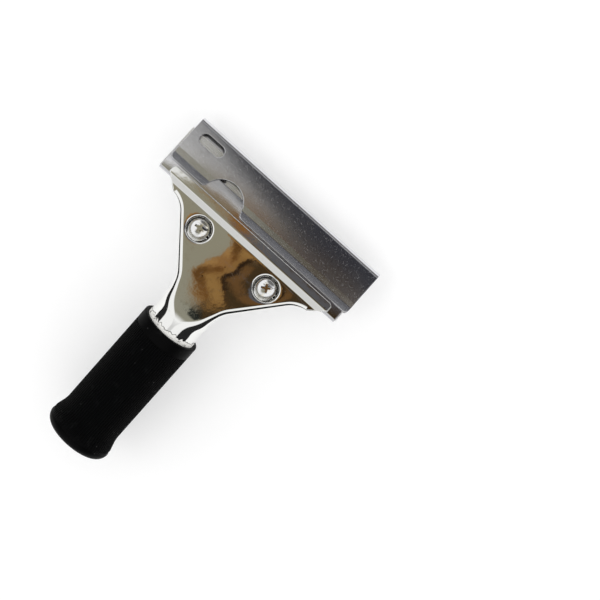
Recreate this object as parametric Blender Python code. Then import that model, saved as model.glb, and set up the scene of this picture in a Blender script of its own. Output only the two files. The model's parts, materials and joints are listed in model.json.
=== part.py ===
"""Glass scraper: a clamped ten centimetre blade on a stamped steel handle.

One steel sheet makes the handle: a tube that opens into a flat fan with sides rolled
down, a pressed step and a raised lip. A mirrored jaw under the fan closes on a folded
channel that holds the blade. Two screws draw the jaw up. A rubber sleeve covers the
tube, and a folded guard slips over the blade.

Every piece is drawn in the frame of the head or of the tube. In the head's frame X runs
along the blade, Y points forward from the foot of the pressed step, and Z = 0 is the
upper face of the fan. The whole is then tipped so that the guard and the end of the grip
rest on the floor, with the middle of its box over the origin.
"""

from math import asin, atan2, ceil, cos, hypot, pi, radians, sin, sqrt, tan

import bmesh
import bpy
from mathutils import Matrix, Vector

MM = 0.001

# Fits
CLEARANCE = 0.3 * MM
HARDWARE_GAP = 0.15 * MM
OVERRUN = 2.0 * MM
WELD = 0.0005 * MM

# Stamped sheet of the handle and its bend at the neck
SHEET = 1.2 * MM
TUBE_RADIUS = 11.8 * MM
TUBE_LENGTH = 67.0 * MM
TUBE_SEAM = 0.5 * MM
KNEE_INSIDE = 3.0 * MM
KNEE_ANGLE = radians(26.0)
FAN_LENGTH = 34.0 * MM

# Outline of the fan, measured back from the foot of the step
LIP_LENGTH = 90.0 * MM
LIP_DEPTH = 7.3 * MM
LIP_SIDE = 3.6 * MM
LIP_CORNER = 2.0 * MM
SHOULDER_WIDTH = 76.2 * MM
SHOULDER_SETBACK = 1.7 * MM
ROOT_WIDTH = 66.6 * MM
ROOT_SETBACK = 2.6 * MM
ROOT_FILLET = 12.0 * MM
WAIST_SETBACK = 28.8 * MM
WAIST_FILLET = 15.0 * MM

# Sides of the fan, rolled down
FLANGE_RADIUS = 1.8 * MM
FLANGE_GAIN = 0.8 * MM
FLANGE_DROP = 1.4 * MM
THROAT_SETBACK = 29.0 * MM
THROAT_LENGTH = 13.5 * MM
THROAT_EASE = 1.7

# Pressed step behind the lip
STEP_SLOPE = radians(35.0)
FOOT_FILLET = 1.4 * MM
CREST_FILLET = 2.0 * MM

# Dished seats of the two screws
SCREW_SPACING = 38.0 * MM
SCREW_SETBACK = 6.4 * MM
DISH_MARGIN = 0.8 * MM
DISH_SLOPE = 1.6 * MM
DISH_DEPTH = 1.2 * MM
DISH_LEDGE = 0.15 * MM

# Lower jaw
JAW_SHEET = 1.2 * MM
JAW_REACH = 15.5 * MM
JAW_CORNER = 3.0 * MM
JAW_SIDE_GAP = 0.8 * MM
JAW_ROOT_FILLET = 10.0 * MM

# Screws, washers and nuts
THREAD_RADIUS = 2.0 * MM
SCREW_PROUD = 1.75 * MM
HEAD_RADIUS = 3.9 * MM
HEAD_HEIGHT = 2.4 * MM
HEAD_EDGE = 1.2 * MM
HEAD_CROWN = 2.4 * MM
SCREW_TIP = 0.4 * MM
SCREW_TURNS = {"left": radians(4.0), "right": radians(32.0)}
RECESS_RADIUS = 2.5 * MM
RECESS_DEPTH = 1.5 * MM
RECESS_WIDTH = 1.05 * MM
RECESS_FOOT = 1.0 * MM
WASHER_INSET = 0.2 * MM
WASHER_HEIGHT = 0.9 * MM
WASHER_SPLIT = 0.9 * MM
NUT_FLATS = 7.0 * MM
NUT_HEIGHT = 3.2 * MM
NUT_CHAMFER = 0.5 * MM

# Folded channel that holds the blade
CHANNEL_INSET = 0.3 * MM
CHANNEL_REAR = 2.25 * MM
CHANNEL_DEPTH = 13.0 * MM
CHANNEL_SHEET = 0.8 * MM
CHANNEL_HALF = 1.5 * MM
CHANNEL_LIP_HALF = 1.32 * MM

# Blade
BLADE_LENGTH = 100.0 * MM
BLADE_WIDTH = 21.5 * MM
BLADE_THICKNESS = 0.4 * MM
BLADE_EDGE = 0.06 * MM
BLADE_BEVEL = 2.8 * MM
CENTRE_HOLE_RADIUS = 2.9 * MM
SIDE_HOLE_RADIUS = 3.3 * MM
SIDE_HOLE_WIDTH = 4.7 * MM
SIDE_HOLE_OFFSET = 26.0 * MM

# Blade guard
GUARD_EXTRA = 0.6 * MM
GUARD_OFFSET = 1.1 * MM
GUARD_SHEET = 0.6 * MM
GUARD_HALF = 2.7 * MM
GUARD_ROOM = 6.15 * MM
GUARD_GAP = 1.0 * MM
GUARD_CREASE = 5.7 * MM
GUARD_FLARE = 3.2 * MM
GUARD_FLARE_RISE = 0.5 * MM
GUARD_CORNER = 2.2 * MM
NOTCH_RADIUS = 9.6 * MM
NOTCH_OFFSET = 21.0 * MM
NOTCH_FILLET = 2.5 * MM
SLOT_LENGTH = 12.4 * MM
SLOT_WIDTH = 5.4 * MM
SLOT_INSET = 10.6 * MM
SLOT_SETBACK = 7.2 * MM

# Rubber grip
MOUTH_SETBACK = 3.8 * MM
GRIP_WALL = 1.8 * MM
GRIP_END_WALL = 3.2 * MM
GRIP_COLLAR = 5.0 * MM
FLARE_SWELL = 1.7 * MM
FLARE_LENGTH = 13.0 * MM
END_ROUND = 4.0 * MM
MOUTH_ROUND = 0.5 * MM
RIB_COUNT = 76
RIB_DEPTH = 0.3 * MM
RIB_FADE = 1.0 * MM

# Facets
ARC_STEP = radians(15.0)
ROUND_SIDES = 40
HOLE_SIDES = 24
SHOULDER_FACETS = 9
HEAD_FACETS = 6
FLARE_FACETS = 6
OUTLINE_STEP = 2.2 * MM
SHARP_ANGLE = radians(30.0)

# Values that follow from the sizes
KNEE_RADIUS = 2 * TUBE_RADIUS + KNEE_INSIDE
KNEE_END = FAN_LENGTH + KNEE_RADIUS * KNEE_ANGLE
THROAT_END = THROAT_SETBACK + THROAT_LENGTH
CLAMP_PLANE = -(SHEET + CLEARANCE / 2)
STEP_RISE = CLAMP_PLANE + CHANNEL_HALF + CLEARANCE + SHEET
CHANNEL_LENGTH = BLADE_LENGTH - 2 * CHANNEL_INSET
BLADE_REAR = CHANNEL_REAR + CHANNEL_SHEET + CLEARANCE
GUARD_LENGTH = BLADE_LENGTH + GUARD_EXTRA
GUARD_FRONT = BLADE_REAR + BLADE_WIDTH + GUARD_ROOM
GUARD_END = LIP_DEPTH + GUARD_GAP
WASHER_RADIUS = HEAD_RADIUS - WASHER_INSET
DISH_FLOOR_RADIUS = WASHER_RADIUS + DISH_MARGIN
DISH_RADIUS = DISH_FLOOR_RADIUS + DISH_SLOPE
SEAT_TO_HEAD = WASHER_HEIGHT + 2 * HARDWARE_GAP
SEAT_TO_NUT = SHEET + CLEARANCE + JAW_SHEET + HARDWARE_GAP
SCREW_LENGTH = SEAT_TO_HEAD + SEAT_TO_NUT + NUT_HEIGHT + SCREW_PROUD
GRIP_RADIUS = TUBE_RADIUS + CLEARANCE + GRIP_WALL
GRIP_LENGTH = TUBE_LENGTH - MOUTH_SETBACK + CLEARANCE + GRIP_END_WALL
FLARE_RADIUS = GRIP_RADIUS + FLARE_SWELL


def clear_scene():
    """Remove every object that the file opened with."""
    for obj in list(bpy.data.objects):
        bpy.data.objects.remove(obj, do_unlink=True)


def make_material(name, colour, metallic, roughness):
    """Return a Principled material of one colour."""
    material = bpy.data.materials.new(name)
    material.use_nodes = True
    shader = material.node_tree.nodes["Principled BSDF"]
    shader.inputs["Base Color"].default_value = (*colour, 1.0)
    shader.inputs["Metallic"].default_value = metallic
    shader.inputs["Roughness"].default_value = roughness
    return material


def make_empty(name, parent, matrix):
    """Return an empty that carries pieces in a frame of its own."""
    empty = bpy.data.objects.new(name, None)
    bpy.context.collection.objects.link(empty)
    empty.parent = parent
    empty.matrix_local = matrix
    return empty


def make_piece(name, bm, material, parent, origin=(0.0, 0.0, 0.0)):
    """Weld a mesh, turn its faces outwards and hang it under its frame by its origin."""
    bmesh.ops.remove_doubles(bm, verts=bm.verts, dist=WELD)
    bmesh.ops.recalc_face_normals(bm, faces=bm.faces)
    bmesh.ops.translate(bm, verts=bm.verts, vec=-Vector(origin))
    mesh = bpy.data.meshes.new(name)
    bm.to_mesh(mesh)
    bm.free()
    mesh.shade_smooth()
    mesh.set_sharp_from_angle(angle=SHARP_ANGLE)
    mesh.materials.append(material)
    obj = bpy.data.objects.new(name, mesh)
    bpy.context.collection.objects.link(obj)
    obj.parent = parent
    obj.location = origin
    return obj


def cut(piece, cutter):
    """Cut a piece with a hidden solid that shares its place."""
    cutter.hide_render = True
    cutter.display_type = "WIRE"
    modifier = piece.modifiers.new(cutter.name, "BOOLEAN")
    modifier.operation = "DIFFERENCE"
    modifier.solver = "EXACT"
    modifier.object = cutter


def arc(centre, radius, start, end):
    """Return the points of an arc about a centre, both ends included."""
    steps = max(2, ceil(abs(end - start) / ARC_STEP))
    angles = [start + (end - start) * i / steps for i in range(steps + 1)]
    return [(centre[0] + radius * cos(a), centre[1] + radius * sin(a)) for a in angles]


def offset_line(points, distance):
    """Return an open line moved sideways, to its right, with mitred corners."""
    moved = []
    for i, point in enumerate(points):
        before = Vector(points[max(i - 1, 0)])
        after = Vector(points[min(i + 1, len(points) - 1)])
        here = Vector(point)
        first = (here - before) if i > 0 else (after - here)
        second = (after - here) if i < len(points) - 1 else (here - before)
        first.normalize()
        second.normalize()
        normal = Vector((first.y + second.y, -(first.x + second.x)))
        normal.normalize()
        reach = distance / normal.dot(Vector((first.y, -first.x)))
        moved.append(tuple(here + normal * reach))
    return moved


def fillet_line(points, radii):
    """Return an open line with each inner corner rounded by its radius."""
    line = [points[0]]
    for before, corner, after, radius in zip(points, points[1:], points[2:], radii):
        here = Vector(corner)
        back = (Vector(before) - here).normalized()
        ahead = (Vector(after) - here).normalized()
        half = back.angle(ahead) / 2
        centre = here + (back + ahead).normalized() * radius / sin(half)
        start = here + back * radius / tan(half) - centre
        sweep = start.angle_signed(here + ahead * radius / tan(half) - centre)
        first = atan2(start.y, start.x)
        line += arc(centre, radius, first, first - sweep)
    line.append(points[-1])
    return line


def bridge(bm, first, second):
    """Join two closed loops of vertices with faces."""
    for i in range(len(first)):
        j = (i + 1) % len(first)
        bm.faces.new((first[i], first[j], second[j], second[i]))


def loft(loops):
    """Return a solid through closed loops of points, with its two ends filled."""
    bm = bmesh.new()
    rings = [[bm.verts.new(point) for point in loop] for loop in loops]
    for first, second in zip(rings, rings[1:]):
        bridge(bm, first, second)
    bm.faces.new(rings[0])
    bm.faces.new(rings[-1])
    return bm


def extrude_outline(points, low, high, place):
    """Return a prism. place turns a point of the outline and a height into x, y, z."""
    return loft([[place(point, level) for point in points] for level in (low, high)])


def along_x(point, level):
    """Place a side view outline (y, z) at a station along X."""
    return (level, point[0], point[1])


def along_z(point, level):
    """Place a plan view outline (x, y) at a height."""
    return (point[0], point[1], level)


def circle(radius, height, sides):
    """Return the points of a level circle about the Z axis."""
    angles = [2 * pi * i / sides for i in range(sides)]
    return [(radius * cos(a), radius * sin(a), height) for a in angles]


class Sheet:
    """A metal sheet, drawn as points of its upper skin with their partners below."""

    def __init__(self):
        self.upper = []
        self.lower = []
        self.faces = []
        self.places = {}

    def point(self, upper, lower):
        """Add a pair of points, or find the pair that is already there."""
        key = tuple(round(value / WELD) for value in upper)
        if key not in self.places:
            self.places[key] = len(self.upper)
            self.upper.append(upper)
            self.lower.append(lower)
        return self.places[key]

    def strip(self, first, second):
        """Join two rows of points with faces."""
        for a, b, c, d in zip(first, first[1:], second[1:], second):
            corners = list(dict.fromkeys((a, b, c, d)))
            if len(corners) > 2:
                self.faces.append(corners)

    def ring(self, first, second):
        """Join two closed loops of points with faces."""
        self.strip(first + first[:1], second + second[:1])

    def fill(self, outline, holes):
        """Fill the flat region between an outline and its holes with triangles."""
        bm = bmesh.new()
        made = {}
        edges = []
        for loop in [outline] + holes:
            for index in loop:
                made[index] = bm.verts.new(self.upper[index])
            edges += [bm.edges.new((made[a], made[b])) for a, b in zip(loop, loop[1:] + loop[:1])]
        names = {vert: index for index, vert in made.items()}
        bmesh.ops.triangle_fill(bm, use_beauty=True, use_dissolve=False, edges=edges)
        self.faces += [[names[vert] for vert in face.verts] for face in bm.faces]
        bm.free()

    def solid(self):
        """Return the closed mesh: both skins, and a rim along every open edge."""
        bm = bmesh.new()
        tops = [bm.verts.new(point) for point in self.upper]
        for face in self.faces:
            bm.faces.new([tops[i] for i in face])
        bmesh.ops.recalc_face_normals(bm, faces=bm.faces)
        bm.verts.index_update()
        oriented = [[vert.index for vert in face.verts] for face in bm.faces]
        rims = [
            (edge.link_loops[0].vert.index, edge.link_loops[0].link_loop_next.vert.index)
            for edge in bm.edges
            if edge.is_boundary
        ]
        unders = [bm.verts.new(point) for point in self.lower]
        for face in oriented:
            bm.faces.new([unders[i] for i in reversed(face)])
        for a, b in rims:
            bm.faces.new((tops[b], tops[a], unders[a], unders[b]))
        return bm


def bend(point):
    """Carry a flat point (x, distance back, depth) round the knee into the head's frame."""
    x, back, depth = point
    if back <= FAN_LENGTH:
        return (x, -back, -depth)
    turn = min((back - FAN_LENGTH) / KNEE_RADIUS, KNEE_ANGLE)
    beyond = max(back - KNEE_END, 0.0)
    radius = KNEE_RADIUS - depth
    y = -FAN_LENGTH - radius * sin(turn) - beyond * cos(turn)
    z = -KNEE_RADIUS + radius * cos(turn) - beyond * sin(turn)
    return (x, y, z)


def fan_side():
    """Return the fan's outline (half width, distance back) from shoulder to tube."""
    corners = [
        (SHOULDER_WIDTH / 2, SHOULDER_SETBACK),
        (ROOT_WIDTH / 2, ROOT_SETBACK),
        (TUBE_RADIUS, WAIST_SETBACK),
        (TUBE_RADIUS, THROAT_END),
    ]
    return fillet_line(corners, (ROOT_FILLET, WAIST_FILLET)) + [(TUBE_RADIUS, KNEE_END)]


def spread(line, step):
    """Return a line with extra points, so that no stretch is longer than a step."""
    points = [line[0]]
    for start, end in zip(line, line[1:]):
        count = max(1, ceil(hypot(end[0] - start[0], end[1] - start[1]) / step))
        for i in range(1, count + 1):
            share = i / count
            points.append((start[0] + (end[0] - start[0]) * share,
                           start[1] + (end[1] - start[1]) * share))
    return points


def shoulder_sizes(back):
    """Return the rolled side's radius, wrap angle and straight drop at a distance back."""
    along = min(max((back - SHOULDER_SETBACK) / (THROAT_SETBACK - SHOULDER_SETBACK), 0.0), 1.0)
    throat = min(max((back - THROAT_SETBACK) / THROAT_LENGTH, 0.0), 1.0)
    slim = FLANGE_RADIUS + FLANGE_GAIN * along
    radius = slim + (TUBE_RADIUS - slim) * throat ** THROAT_EASE
    full_wrap = pi - TUBE_SEAM / 2 / TUBE_RADIUS
    wrap = pi / 2 + (full_wrap - pi / 2) * throat
    drop = FLANGE_DROP * (1.0 - throat)
    return radius, wrap, drop


def flat_edge(outer, normal):
    """Return, in plan, where the flat ends and the rolled side begins."""
    radius = shoulder_sizes(outer[1])[0]
    return (outer[0] - radius * normal[0], outer[1] - radius * normal[1])


def shoulder_section(side, outer, normal):
    """Return the pairs of points of one section, from the flat to the sheet's edge."""
    radius, wrap, drop = shoulder_sizes(outer[1])
    centre = flat_edge(outer, normal)
    pairs = []
    for skin in (0.0, SHEET):
        bow = radius - skin
        angles = [wrap * i / SHOULDER_FACETS for i in range(SHOULDER_FACETS + 1)]
        row = [(bow * sin(angle), radius - bow * cos(angle)) for angle in angles]
        out, depth = row[-1]
        row.append((out + drop * cos(wrap), depth + drop * sin(wrap)))
        pairs.append([
            bend((side * (centre[0] + out * normal[0]), centre[1] + out * normal[1], depth))
            for out, depth in row
        ])
    return list(zip(*pairs))


def outline_normals(line):
    """Return the outward normal, in plan, at each point of the fan's side."""
    normals = []
    for i in range(len(line)):
        before = line[max(i - 1, 0)]
        after = line[min(i + 1, len(line) - 1)]
        run = hypot(after[0] - before[0], after[1] - before[1])
        normals.append(((after[1] - before[1]) / run, (before[0] - after[0]) / run))
    normals[-1] = (1.0, 0.0)
    return normals


def step_line():
    """Return the upper skin's side view (y, z) from the foot to the front of the lip."""
    slope_rise = STEP_RISE - (FOOT_FILLET + CREST_FILLET) * (1 - cos(STEP_SLOPE))
    run = (FOOT_FILLET + CREST_FILLET) * sin(STEP_SLOPE) + slope_rise / tan(STEP_SLOPE)
    foot = arc((0.0, FOOT_FILLET), FOOT_FILLET, -pi / 2, STEP_SLOPE - pi / 2)
    crest_centre = (run, STEP_RISE - CREST_FILLET)
    crest = arc(crest_centre, CREST_FILLET, pi / 2 + STEP_SLOPE, pi / 2)
    rounding = [y for y, _ in arc((LIP_DEPTH - LIP_CORNER, 0.0), LIP_CORNER, -pi / 2, 0.0)]
    return foot + crest + [(y, STEP_RISE) for y in [LIP_SIDE] + rounding]


def lip_half_width(y, foot_width, setback):
    """Return a lip's half width ahead of the foot, where its end slants in to a width."""
    if y <= LIP_SIDE:
        share = (LIP_SIDE - y) / (LIP_SIDE + setback)
        return LIP_LENGTH / 2 + (foot_width / 2 - LIP_LENGTH / 2) * share
    into = max(y - (LIP_DEPTH - LIP_CORNER), 0.0)
    return LIP_LENGTH / 2 - LIP_CORNER + sqrt(max(LIP_CORNER ** 2 - into ** 2, 0.0))


def add_lip(sheet, upper, lower, foot_width, setback):
    """Add the step and the lip to a sheet. Return its first row, at the foot."""
    rows = []
    for top, under in zip(upper, lower):
        half = lip_half_width(top[0], foot_width, setback)
        rows.append([
            sheet.point((side * half, *top), (side * half, *under)) for side in (-1, 1)
        ])
    for first, second in zip(rows, rows[1:]):
        sheet.strip(first, second)
    return rows[0]


def add_seat(sheet, x, depth, thickness):
    """Add a round pressed seat with its screw hole. Return the loop of its rim.

    depth is how far the sheet lies below the upper face of the fan. A seat that nests
    in another keeps its distance because its radii grow with the depth.
    """
    slope = atan2(DISH_DEPTH, DISH_RADIUS - DISH_FLOOR_RADIUS)
    hole = THREAD_RADIUS + CLEARANCE
    loops = []
    for radius, drop in ((DISH_RADIUS, 0.0), (DISH_FLOOR_RADIUS, DISH_DEPTH)):
        skins = [
            (radius + level * tan(slope / 2), -drop - level) for level in (depth, depth + thickness)
        ]
        loops.append(seat_loop(sheet, x, skins))
    skins = [(hole, -DISH_DEPTH - level) for level in (depth, depth + thickness)]
    loops.append(seat_loop(sheet, x, skins))
    for first, second in zip(loops, loops[1:]):
        sheet.ring(first, second)
    return loops[0]


def seat_loop(sheet, x, skins):
    """Add one loop of a round seat, given its radius and height on both skins.

    Where the circle would run into the foot of the step, it is flattened just behind it.
    """
    loop = []
    for i in range(ROUND_SIDES):
        angle = 2 * pi * i / ROUND_SIDES
        pair = []
        for radius, z in skins:
            y = min(radius * sin(angle) - SCREW_SETBACK, -DISH_LEDGE)
            pair.append((x + radius * cos(angle), y, z))
        loop.append(sheet.point(*pair))
    return loop


def build_handle(material, head):
    """Build the stamped handle: lip, step, fan with dished seats, rolled sides, tube."""
    sheet = Sheet()
    upper = step_line()
    lower = offset_line(upper, SHEET)
    foot = add_lip(sheet, upper, lower, SHOULDER_WIDTH, SHOULDER_SETBACK)

    line = spread(fan_side(), OUTLINE_STEP)
    normals = outline_normals(line)
    line.append((TUBE_RADIUS, KNEE_END + TUBE_LENGTH))
    normals.append(normals[-1])
    rows = {}
    for side in (-1, 1):
        sections = [shoulder_section(side, *station) for station in zip(line, normals)]
        rows[side] = [[sheet.point(*pair) for pair in section] for section in sections]
        for first, second in zip(rows[side], rows[side][1:]):
            sheet.strip(first, second)

    level = sum(flat_edge(*station)[1] <= FAN_LENGTH for station in zip(line, normals))
    edges = {}
    for side in (-1, 1):
        corner = (side * SHOULDER_WIDTH / 2, -SHOULDER_SETBACK)
        shoulder = sheet.point((*corner, 0.0), (*corner, -SHEET))
        edges[side] = [shoulder] + [row[0] for row in rows[side][:level]]
    outline = foot[::-1] + edges[-1] + edges[1][::-1]
    seats = [add_seat(sheet, side * SCREW_SPACING / 2, 0.0, SHEET) for side in (-1, 1)]
    sheet.fill(outline, seats)
    crossings = [[rows[-1][i][0], rows[1][i][0]] for i in range(level - 1, len(line) - 1)]
    for first, second in zip(crossings, crossings[1:]):
        sheet.strip(first, second)
    return make_piece("handle_body", sheet.solid(), material, head)


def jaw_side():
    """Return half of the jaw's plan behind the foot, as (half width, distance back)."""
    inset = SHEET + JAW_SIDE_GAP
    corners = [
        (SHOULDER_WIDTH / 2, SHOULDER_SETBACK),
        (ROOT_WIDTH / 2, ROOT_SETBACK),
        (TUBE_RADIUS, WAIST_SETBACK),
    ]
    shoulder, root, waist = offset_line(corners, -inset)
    foot = cross_at(shoulder, root, 0.0)
    rear = cross_at(root, waist, JAW_REACH)
    return fillet_line([foot, root, rear, (0.0, JAW_REACH)], (JAW_ROOT_FILLET, JAW_CORNER))


def cross_at(start, end, back):
    """Return where a line in plan reaches a distance back from the foot."""
    share = (back - start[1]) / (end[1] - start[1])
    return (start[0] + (end[0] - start[0]) * share, back)


def build_jaw(material, head):
    """Build the lower jaw: the handle's lip mirrored below the channel, and its plate."""
    sheet = Sheet()
    upper = [(y, 2 * CLAMP_PLANE - z) for y, z in offset_line(step_line(), SHEET)]
    lower = offset_line(upper, JAW_SHEET)
    side = jaw_side()
    foot = add_lip(sheet, upper, lower, 2 * side[0][0], 0.0)
    top = -SHEET - CLEARANCE
    edges = {}
    for sign in (-1, 1):
        places = [(sign * half, -back) for half, back in side[1:-1]]
        edges[sign] = [
            sheet.point((*place, top), (*place, top - JAW_SHEET)) for place in places
        ]
    outline = foot[::-1] + edges[-1] + edges[1][::-1]
    seats = [
        add_seat(sheet, sign * SCREW_SPACING / 2, SHEET + CLEARANCE, JAW_SHEET) for sign in (-1, 1)
    ]
    sheet.fill(outline, seats)
    origin = (0.0, -SCREW_SETBACK, top)
    return make_piece("clamp_jaw", sheet.solid(), material, head, origin)


def channel_half(y):
    """Return half the channel's thickness at a distance ahead of the foot."""
    start = CHANNEL_REAR + CHANNEL_HALF
    share = (y - start) / (CHANNEL_REAR + CHANNEL_DEPTH - start)
    return CHANNEL_HALF + (CHANNEL_LIP_HALF - CHANNEL_HALF) * share


def folded_strip(outer, thickness):
    """Return the closed side view of a folded strip from the line of its outer skin."""
    lifted = [(y, CLAMP_PLANE + z) for y, z in outer]
    return lifted + offset_line(lifted, thickness)[::-1]


def build_channel(material, head):
    """Build the folded channel: two leaves that close a little towards the blade's edge."""
    front = CHANNEL_REAR + CHANNEL_DEPTH
    fold = arc((CHANNEL_REAR + CHANNEL_HALF, 0.0), CHANNEL_HALF, -pi / 2, -3 * pi / 2)
    outer = [(front, -CHANNEL_LIP_HALF)] + fold + [(front, CHANNEL_LIP_HALF)]
    profile = folded_strip(outer, CHANNEL_SHEET)
    bm = extrude_outline(profile, -CHANNEL_LENGTH / 2, CHANNEL_LENGTH / 2, along_x)
    return make_piece("blade_channel", bm, material, head, (0.0, CHANNEL_REAR, CLAMP_PLANE))


def hole_outline(x, y, radius, half_width):
    """Return a round hole in plan, with two flats where its half width is less."""
    angles = [2 * pi * i / HOLE_SIDES for i in range(HOLE_SIDES)]
    return [
        (x + max(-half_width, min(half_width, radius * cos(a))), y + radius * sin(a))
        for a in angles
    ]


def build_blade(material, head):
    """Build the double-edged blade with its round hole and two flat-sided holes."""
    front = BLADE_REAR + BLADE_WIDTH
    face = BLADE_THICKNESS / 2
    edge = BLADE_EDGE / 2
    upper = [
        (BLADE_REAR, edge),
        (BLADE_REAR + BLADE_BEVEL, face),
        (front - BLADE_BEVEL, face),
        (front, edge),
    ]
    lower = [(y, -z) for y, z in upper[::-1]]
    profile = [(y, CLAMP_PLANE + z) for y, z in upper + lower]
    origin = (0.0, BLADE_REAR + BLADE_WIDTH / 2, CLAMP_PLANE)
    bm = extrude_outline(profile, -BLADE_LENGTH / 2, BLADE_LENGTH / 2, along_x)
    blade = make_piece("blade", bm, material, head, origin)
    holes = [
        ("centre", 0.0, CENTRE_HOLE_RADIUS, CENTRE_HOLE_RADIUS),
        ("left", -SIDE_HOLE_OFFSET, SIDE_HOLE_RADIUS, SIDE_HOLE_WIDTH / 2),
        ("right", SIDE_HOLE_OFFSET, SIDE_HOLE_RADIUS, SIDE_HOLE_WIDTH / 2),
    ]
    for name, x, radius, half_width in holes:
        outline = hole_outline(x, origin[1], radius, half_width)
        low, high = CLAMP_PLANE - OVERRUN, CLAMP_PLANE + OVERRUN
        cutter = extrude_outline(outline, low, high, along_z)
        cut(blade, make_piece(f"blade_{name}_hole_cutter", cutter, material, head))
    return blade


def guard_line():
    """Return the guard's outer skin in side view, from the upper end round the fold."""
    contact = GUARD_END + GUARD_FLARE
    grip = channel_half(contact) + CLEARANCE + GUARD_SHEET
    upper = [
        (GUARD_END, grip + GUARD_FLARE_RISE),
        (contact, grip),
        (GUARD_END + GUARD_CREASE, GUARD_HALF),
    ]
    fold = arc((GUARD_FRONT - GUARD_HALF, 0.0), GUARD_HALF, pi / 2, -pi / 2)
    return upper + fold + [(y, -z) for y, z in upper[::-1]]


def notch_outline(x):
    """Return the finger notch in plan: a half circle with rounded feet."""
    reach = NOTCH_RADIUS + NOTCH_FILLET
    foot = sqrt(reach ** 2 - NOTCH_FILLET ** 2)
    lean = asin(NOTCH_FILLET / reach)
    left = arc((x - foot, GUARD_END + NOTCH_FILLET), NOTCH_FILLET, -pi / 2, lean)
    bow = arc((x, GUARD_END), NOTCH_RADIUS, pi - lean, lean)
    right = arc((x + foot, GUARD_END + NOTCH_FILLET), NOTCH_FILLET, pi - lean, 3 * pi / 2)
    ends = [(x + foot, GUARD_END - OVERRUN), (x - foot, GUARD_END - OVERRUN)]
    return left[:-1] + bow + right[1:] + ends


def slot_outline(x, y):
    """Return the slot in plan, with round ends."""
    radius = SLOT_WIDTH / 2
    reach = SLOT_LENGTH / 2 - radius
    right = arc((x + reach, y), radius, -pi / 2, pi / 2)
    left = arc((x - reach, y), radius, pi / 2, 3 * pi / 2)
    return right + left


def corner_outline(x, side):
    """Return, in plan, what rounding removes from one corner of the guard's leaves."""
    centre = (x - side * GUARD_CORNER, GUARD_END + GUARD_CORNER)
    turn = [(centre[0] + side * px, centre[1] + py)
            for px, py in arc((0.0, 0.0), GUARD_CORNER, -pi / 2, 0.0)]
    beyond = (x + side * OVERRUN, GUARD_END - OVERRUN)
    return turn + [(beyond[0], turn[-1][1]), beyond, (turn[0][0], beyond[1])]


def build_guard(material, head):
    """Build the folded guard, with its notch and slot through the upper leaf alone."""
    left = GUARD_OFFSET - GUARD_LENGTH / 2
    right = GUARD_OFFSET + GUARD_LENGTH / 2
    profile = folded_strip(guard_line(), GUARD_SHEET)
    origin = (GUARD_OFFSET, GUARD_FRONT - GUARD_HALF, CLAMP_PLANE)
    guard = make_piece(
        "blade_guard", extrude_outline(profile, left, right, along_x), material, head, origin
    )
    above = CLAMP_PLANE + GUARD_HALF + OVERRUN
    below = CLAMP_PLANE - GUARD_HALF - OVERRUN
    slot = slot_outline(left + SLOT_INSET, GUARD_FRONT - SLOT_SETBACK)
    cuts = [
        ("notch", notch_outline(GUARD_OFFSET - NOTCH_OFFSET), CLAMP_PLANE),
        ("slot", slot, CLAMP_PLANE),
        ("left_corner", corner_outline(left, -1), below),
        ("right_corner", corner_outline(right, 1), below),
    ]
    for name, outline, low in cuts:
        cutter = extrude_outline(outline, low, above, along_z)
        cut(guard, make_piece(f"guard_{name}_cutter", cutter, material, head))
    return guard


def screw_place(side, height):
    """Return a point on a screw's axis at a height above the upper face of the fan."""
    return (side * SCREW_SPACING / 2, -SCREW_SETBACK, height)


def cross_outline(reach, turn):
    """Return the plan of a cross of four equal arms, turned by an angle."""
    arm = RECESS_WIDTH / 2
    corners = []
    for i in range(4):
        spin = Matrix.Rotation(turn + i * pi / 2, 2)
        corners += [spin @ Vector(place) for place in ((-arm, -reach), (arm, -reach), (arm, -arm))]
    return corners


def build_screw(side, name, turn, material, head):
    """Build a pan head screw with a tapered cross recess, turned by an angle."""
    flat = HEAD_RADIUS - HEAD_CROWN
    rise = HEAD_HEIGHT - HEAD_EDGE
    angles = [pi / 2 * i / HEAD_FACETS for i in range(HEAD_FACETS + 1)]
    profile = [
        (THREAD_RADIUS - SCREW_TIP, -SCREW_LENGTH),
        (THREAD_RADIUS, -SCREW_LENGTH + SCREW_TIP),
        (THREAD_RADIUS, 0.0),
        (HEAD_RADIUS, 0.0),
    ]
    profile += [(flat + HEAD_CROWN * cos(a), HEAD_EDGE + rise * sin(a)) for a in angles]
    place = screw_place(side, -DISH_DEPTH + SEAT_TO_HEAD)
    solid = loft([circle(*station, HOLE_SIDES) for station in profile])
    screw = make_piece(name, solid, material, head)
    screw.location = place

    taper = (RECESS_RADIUS - RECESS_FOOT) / RECESS_DEPTH
    reach = RECESS_RADIUS + OVERRUN * taper
    foot = [(*corner, HEAD_HEIGHT - RECESS_DEPTH) for corner in cross_outline(RECESS_FOOT, turn)]
    mouth = [(*corner, HEAD_HEIGHT + OVERRUN) for corner in cross_outline(reach, turn)]
    cutter = make_piece(f"{name}_recess_cutter", loft([foot, mouth]), material, head)
    cutter.location = place
    cut(screw, cutter)


def build_washer(side, name, material, head):
    """Build a spring washer: a flat ring with a split."""
    inner = THREAD_RADIUS + CLEARANCE
    gap = WASHER_SPLIT / WASHER_RADIUS
    section = [
        (inner, 0.0),
        (WASHER_RADIUS, 0.0),
        (WASHER_RADIUS, WASHER_HEIGHT),
        (inner, WASHER_HEIGHT),
    ]
    angles = [gap / 2 + (2 * pi - gap) * i / HOLE_SIDES for i in range(HOLE_SIDES + 1)]
    solid = loft([[(r * cos(a), r * sin(a), z) for r, z in section] for a in angles])
    washer = make_piece(name, solid, material, head)
    washer.location = screw_place(side, -DISH_DEPTH + HARDWARE_GAP)


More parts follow.
